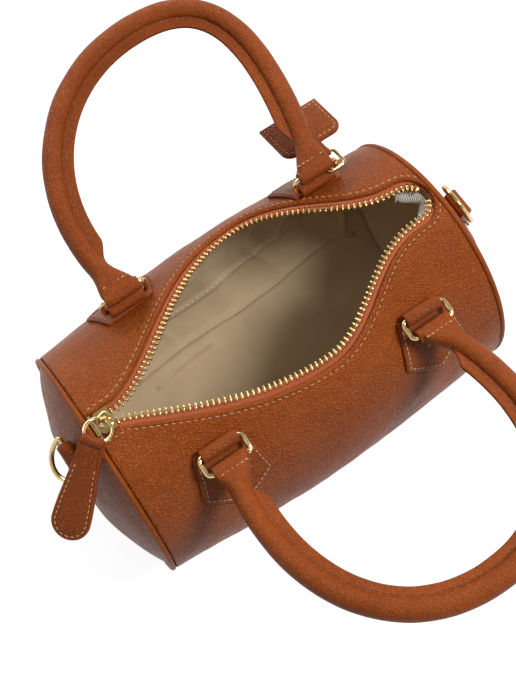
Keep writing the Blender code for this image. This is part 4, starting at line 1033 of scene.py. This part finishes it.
def build_handle(side, word):
    points, lean = handle_arch(side)
    total = runs_of(points)
    length, body, i = total[-1], word + "_handle", 0
    normal = ALONG.cross(lean).normalized()
    sections, seams = [], ([], [])
    for m in range(HANDLE_SECTIONS):
        run = length * (m / (HANDLE_SECTIONS - 1))
        while i < len(total) - 2 and total[i + 1] < run:
            i += 1
        point = points[i].lerp(points[i + 1], (run - total[i]) / (total[i + 1] - total[i]))
        direction = (points[min(i + 2, len(points) - 1)] - points[max(i - 1, 0)]).normalized()
        inward = direction.cross(normal).normalized()
        near = min(run, length - run)
        blend = smooth_step(near / TONGUE_LENGTH)
        flange = smooth_step((near - TONGUE_LENGTH) / FLANGE_RUN_OUT)
        flat = ALONG * (1 if inward.x > 0 else -1)
        axis = (flat * (1 - blend) + inward * blend).normalized()
        spots = tube_outline(flange, run, side * 3.0)
        if near < TONGUE_LENGTH:
            spots = [tongue_spot(a, b, blend, run, near, side * 2.0) for a, b in spots]
        sections.append([point + axis * a + normal * b for a, b in spots])
        if flange > 0.9:
            edge = point + inward * (HANDLE_RADIUS + 0.0009)
            for path, sign in zip(seams, (-1, 1)):
                path.append(edge + normal * sign * (FLANGE_THICKNESS / 2 - 0.00002))
    pieces = [f"{word}_handle_{piece}" for piece in ("cover", "left_tongue", "right_tongue")]
    handle = lofted(word + "_rolled_handle", sections, rolled_look, body, *pieces)
    rows = [(path, [normal * sign] * len(path)) for path, sign in zip(seams, (-1, 1))]
    stitches(word + "_handle_stitches", rows, brown_thread, body, pitch=0.0031, length=0.0022, radius=0.00026)
    dress(word + "_handle_core", core_look)
    for place_word, end in ENDS:
        foot = foot_centre(side, end)
        fold_name = f"{word}_{place_word}_handle_fold"
        roll(fold_name, foot, ALONG, TONGUE_WIDTH, ROLL_RADIUS, EYE_BORE, rolled_look, body)
        rows = []
        for face in (-normal, normal):
            path = [foot + lean * 0.0052 + ALONG * w + face * (EYE_RADIUS * 0.95 + 0.0001)
                    for w in (-0.0078, 0.0, 0.0078)]
            rows.append((path, [face] * 3))
        stitches(f"{word}_{place_word}_fold_stitches", rows, pale_thread, body, pitch=0.0025, length=0.0018)


def build_patch(side, word, place_word, x_middle):
    angle = pick(LOOP_ANGLES, side)
    top, wide = PATCH_TOP_WIDTH / 2, PATCH_WIDTH / 2

    def spot(share, part, lift):
        drop = PATCH_DROP + (PATCH_SIDE - PATCH_DROP) * abs(share)
        run = drop * part
        half = top + (wide - top) * min(run / PATCH_SIDE, 1)
        ease = 0.0004 * ((max(abs(share) - 0.93, 0) / 0.07) ** 2 + (max(part - 0.95, 0) / 0.05) ** 2)
        return hide(x_middle + half * share, side * (angle + run / END_RADIUS), lift - ease)

    rows = [[spot(2 * i / 32 - 1, j / 36, SEAT / 2 + LEATHER) for j in range(37)] for i in range(33)]
    node = f"{word}_{place_word}_patch"
    sheet(node + "_leather", rows, strap_look, node, LEATHER + 0.0001, away_from_axis)
    centre = loop_centre(side, x_middle)
    roll(node + "_roll", centre, ALONG, LOOP_WIDTH, ROLL_RADIUS, EYE_BORE, strap_look, "bag")
    lift, inner = SEAT / 2 + LEATHER + 0.0001, 0.86
    path = [spot(-inner, j / 20, lift) for j in range(3, 19)]
    path += [spot(inner * (2 * i / 20 - 1), 0.91, lift) for i in range(1, 20)]
    path += [spot(inner, j / 20, lift) for j in range(18, 2, -1)]
    normals = [away_from_axis(point).normalized() for point in path]
    lean = tilted(side, angle)
    across = [centre + ALONG * w + lean * (EYE_RADIUS - 0.00025) for w in (-0.008, 0.0, 0.006)]
    stitches(node + "_stitches", [(path, normals)], pale_thread, "bag", **TOPSTITCH)
    stitches(node + "_roll_stitches", [(across, [lean] * 3)], brown_thread, "bag", **TOPSTITCH)


def build_handles():
    for word, side in WALLS:
        for place_word, end in ENDS:
            x = foot_x(side, end)
            build_patch(side, word, place_word, x)
            lean = tilted(side, pick(RING_TILTS, side))
            centre = loop_centre(side, x) + lean * RING_SPAN / 2
            points = link_points(centre, ALONG, RING_LENGTH, lean, RING_SPAN, RING_CORNER)
            node = f"{word}_{place_word}_ring"
            wire("gold_" + node, points, RING_WIRE, gold_look, word + "_rings", node)
        build_handle(side, word)


# End rings and tag


def dome_x(side, height):
    return BODY_LENGTH / 2 + dome_rise(side, height / (END_RADIUS - 2 * PIPING_RADIUS), DOME_RISE)


def d_eye(side):
    return Vector((side * (dome_x(side, D_TAB_HEIGHT) + LOOP_STANDOFF), 0, AXIS_HEIGHT + D_TAB_HEIGHT))


def build_end_rings():
    for word, side in ENDS:
        face, eye = ALONG * side, d_eye(side)
        rows = []
        for i in range(13):
            w = D_TAB_WIDTH / 2 * (2 * i / 12 - 1)
            column = []
            for j in range(25):
                height = D_TAB_HEIGHT - D_TAB_LENGTH * j / 24
                x = dome_x(side, hypot(height, w)) + SEAT + LEATHER
                column.append(Vector((side * x, w, AXIS_HEIGHT + height)))
            rows.append(column)
        node = word + "_d_ring_tab"
        sheet(node + "_leather", rows, strap_look, node, LEATHER, lambda point, face=face: face)
        roll(node + "_roll", eye, ACROSS, D_TAB_WIDTH, EYE_RADIUS, EYE_BORE, strap_look, "bag")
        edge = rows[2][5:23] + [row[22] for row in rows[3:11]] + rows[10][21:4:-1]
        seam = ([point + face * 0.0001 for point in edge], [face] * len(edge))
        stitches(node + "_stitches", [seam], pale_thread, "bag", **TOPSTITCH)
        tilt, half = pick(D_RING_TILTS, side), D_RING_WIDTH / 2
        lean = Vector((side * sin(tilt), 0, cos(tilt)))
        points = [eye + ACROSS * half * (i / 8 - 1) * 0.94 for i in range(17)]
        for i in range(1, 60):
            turn = pi * i / 60
            points.append(eye + ACROSS * half * cos(turn) + lean * D_RING_DEPTH * sin(turn))
        wire("gold_" + word + "_d_ring", points, D_RING_WIRE, gold_look, word + "_d_ring", word + "_d_ring")


def build_tag():
    lean = tilted(1, pick(RING_TILTS, 1))
    hold = loop_centre(1, foot_x(1, 1)) + lean * RING_SPAN / 2 + ALONG * RING_LENGTH / 2
    out = Vector((0, cos(LINK_DROP), -sin(LINK_DROP)))
    start = hold - out * (RING_WIRE + LINK_WIRE + SEAT)
    centre = start + out * LINK_LENGTH / 2
    points = link_points(centre, ALONG, LINK_WIDTH, out, LINK_LENGTH, LINK_CORNER)
    wire("gold_tag_link", points, LINK_WIRE, gold_look, "tag_link", "tag_link")
    eye = start + out * LINK_LENGTH
    along = Vector((0, cos(TAG_DROP), -sin(TAG_DROP)))
    place = (eye, along, ALONG)
    near, far = TAG_STRAP_LENGTH, TAG_STRAP_LENGTH + TAG_LENGTH
    inner, bend = TAG_WIDTH / 2 - TAG_MARGIN, TAG_CORNER - TAG_MARGIN
    strap("leather_tag", (near, far), tag_half, place, TAG_THICKNESS, strap_look, "tag", "hanging_tag",
          margin=TAG_MARGIN)
    corner = [(near + TAG_CORNER - bend * cos(turn), inner - bend + bend * sin(turn))
              for turn in (pi / 2 * i / 8 for i in range(9))]
    half_seam = corner + [(far - TAG_MARGIN, inner)]
    whole = half_seam + [(a, -b) for a, b in reversed(half_seam)] + [half_seam[0]]
    seams = [seam_on(place, sign * (TAG_THICKNESS / 2 - 0.0001), whole) for sign in (-1, 1)]
    stitches("tag_stitches", seams, pale_thread, "tag", **FINE_STITCH)
    strap("tag_strap", (0.0003, near + 0.005), lambda a: TAG_STRAP_WIDTH / 2, place, TAG_THICKNESS + 0.0012,
          strap_look, "tag", margin=0.0012, puff=0.0)
    roll("tag_fold", eye, ALONG, TAG_STRAP_WIDTH, TAG_EYE, LINK_WIRE + EYE_GAP, strap_look, "tag")


def tag_half(a):
    """Half the tag's width: its two near corners are round."""
    rest = max(TAG_STRAP_LENGTH + TAG_CORNER - a, 0)
    return TAG_WIDTH / 2 - TAG_CORNER + sqrt(max(TAG_CORNER**2 - rest**2, 0))


build_body()
build_lining()
build_zip()
build_handles()
build_end_rings()
build_tag()
dress("base_board", board_look)


# Floor, backdrop and light


def paper():
    """Pale and matt. The camera and mirrors see it near white, and it keeps the shadow."""
    n = Nodes("floor_paper", "")
    ray = n.add("LightPath").outputs
    seen = n.math("MAXIMUM", ray["Is Camera Ray"], ray["Is Glossy Ray"])
    seen = n.math("MAXIMUM", seen, ray["Is Transmission Ray"])
    tone = n.mix(n.noise(n.where(), 3.0), (0.30, 0.30, 0.30, 1.0), (0.294, 0.294, 0.294, 1.0))
    return n.set(Base_Color=tone, Roughness=0.9, Specular_IOR_Level=0.1, Emission_Color=(1.0, 1.0, 1.0, 1.0),
                 Emission_Strength=n.times(seen, 0.88))


FLOOR_RADIUS, SWEEP_RADIUS, BACKDROP_HEIGHT = 3.0, 0.8, 2.6
profile = [(FLOOR_RADIUS * i / 8, 0.0) for i in range(9)]
for i in range(1, 13):
    turn = pi / 2 * i / 12
    profile.append((FLOOR_RADIUS + SWEEP_RADIUS * sin(turn), SWEEP_RADIUS * (1 - cos(turn))))
profile.append((FLOOR_RADIUS + SWEEP_RADIUS, BACKDROP_HEIGHT))
bm = bmesh.new()
floor_rows = []
for i in range(97):
    turn = tau * i / 96
    floor_rows.append([Vector((reach * cos(turn), reach * sin(turn), z - 0.0005)) for reach, z in profile])
sheet_mesh(bm, floor_rows, lambda point: UP * 1.5 - point)
bmesh.ops.remove_doubles(bm, verts=bm.verts, dist=1e-6)
floor = add_object("floor", smooth_mesh("floor", bm))
floor.data.materials.append(paper())


def area_light(name, place, size, power):
    """A white panel of light that faces the bag."""
    data = bpy.data.lights.new(name, "AREA")
    data.shape = "RECTANGLE"
    data.size, data.size_y = size
    data.energy = power
    obj = add_object(name, data)
    obj.location = place
    obj.rotation_euler = (Vector(place) - UP * 0.06).to_track_quat("Z", "Y").to_euler()


area_light("key", (0.47, -0.34, 1.08), (0.30, 0.30), 10.0)
area_light("fill", (-0.60, 0.10, 1.10), (0.8, 0.8), 0.9)
area_light("rim", (0.1, 1.0, 0.50), (1.4, 0.4), 8.0)

world = bpy.data.worlds.new("studio")
bpy.context.scene.world = world
world.use_nodes = True
background = world.node_tree.nodes["Background"]
background.inputs["Color"].default_value = (1.0, 1.0, 1.0, 1.0)
background.inputs["Strength"].default_value = 0.30
bpy.context.scene.view_settings.view_transform = "Standard"
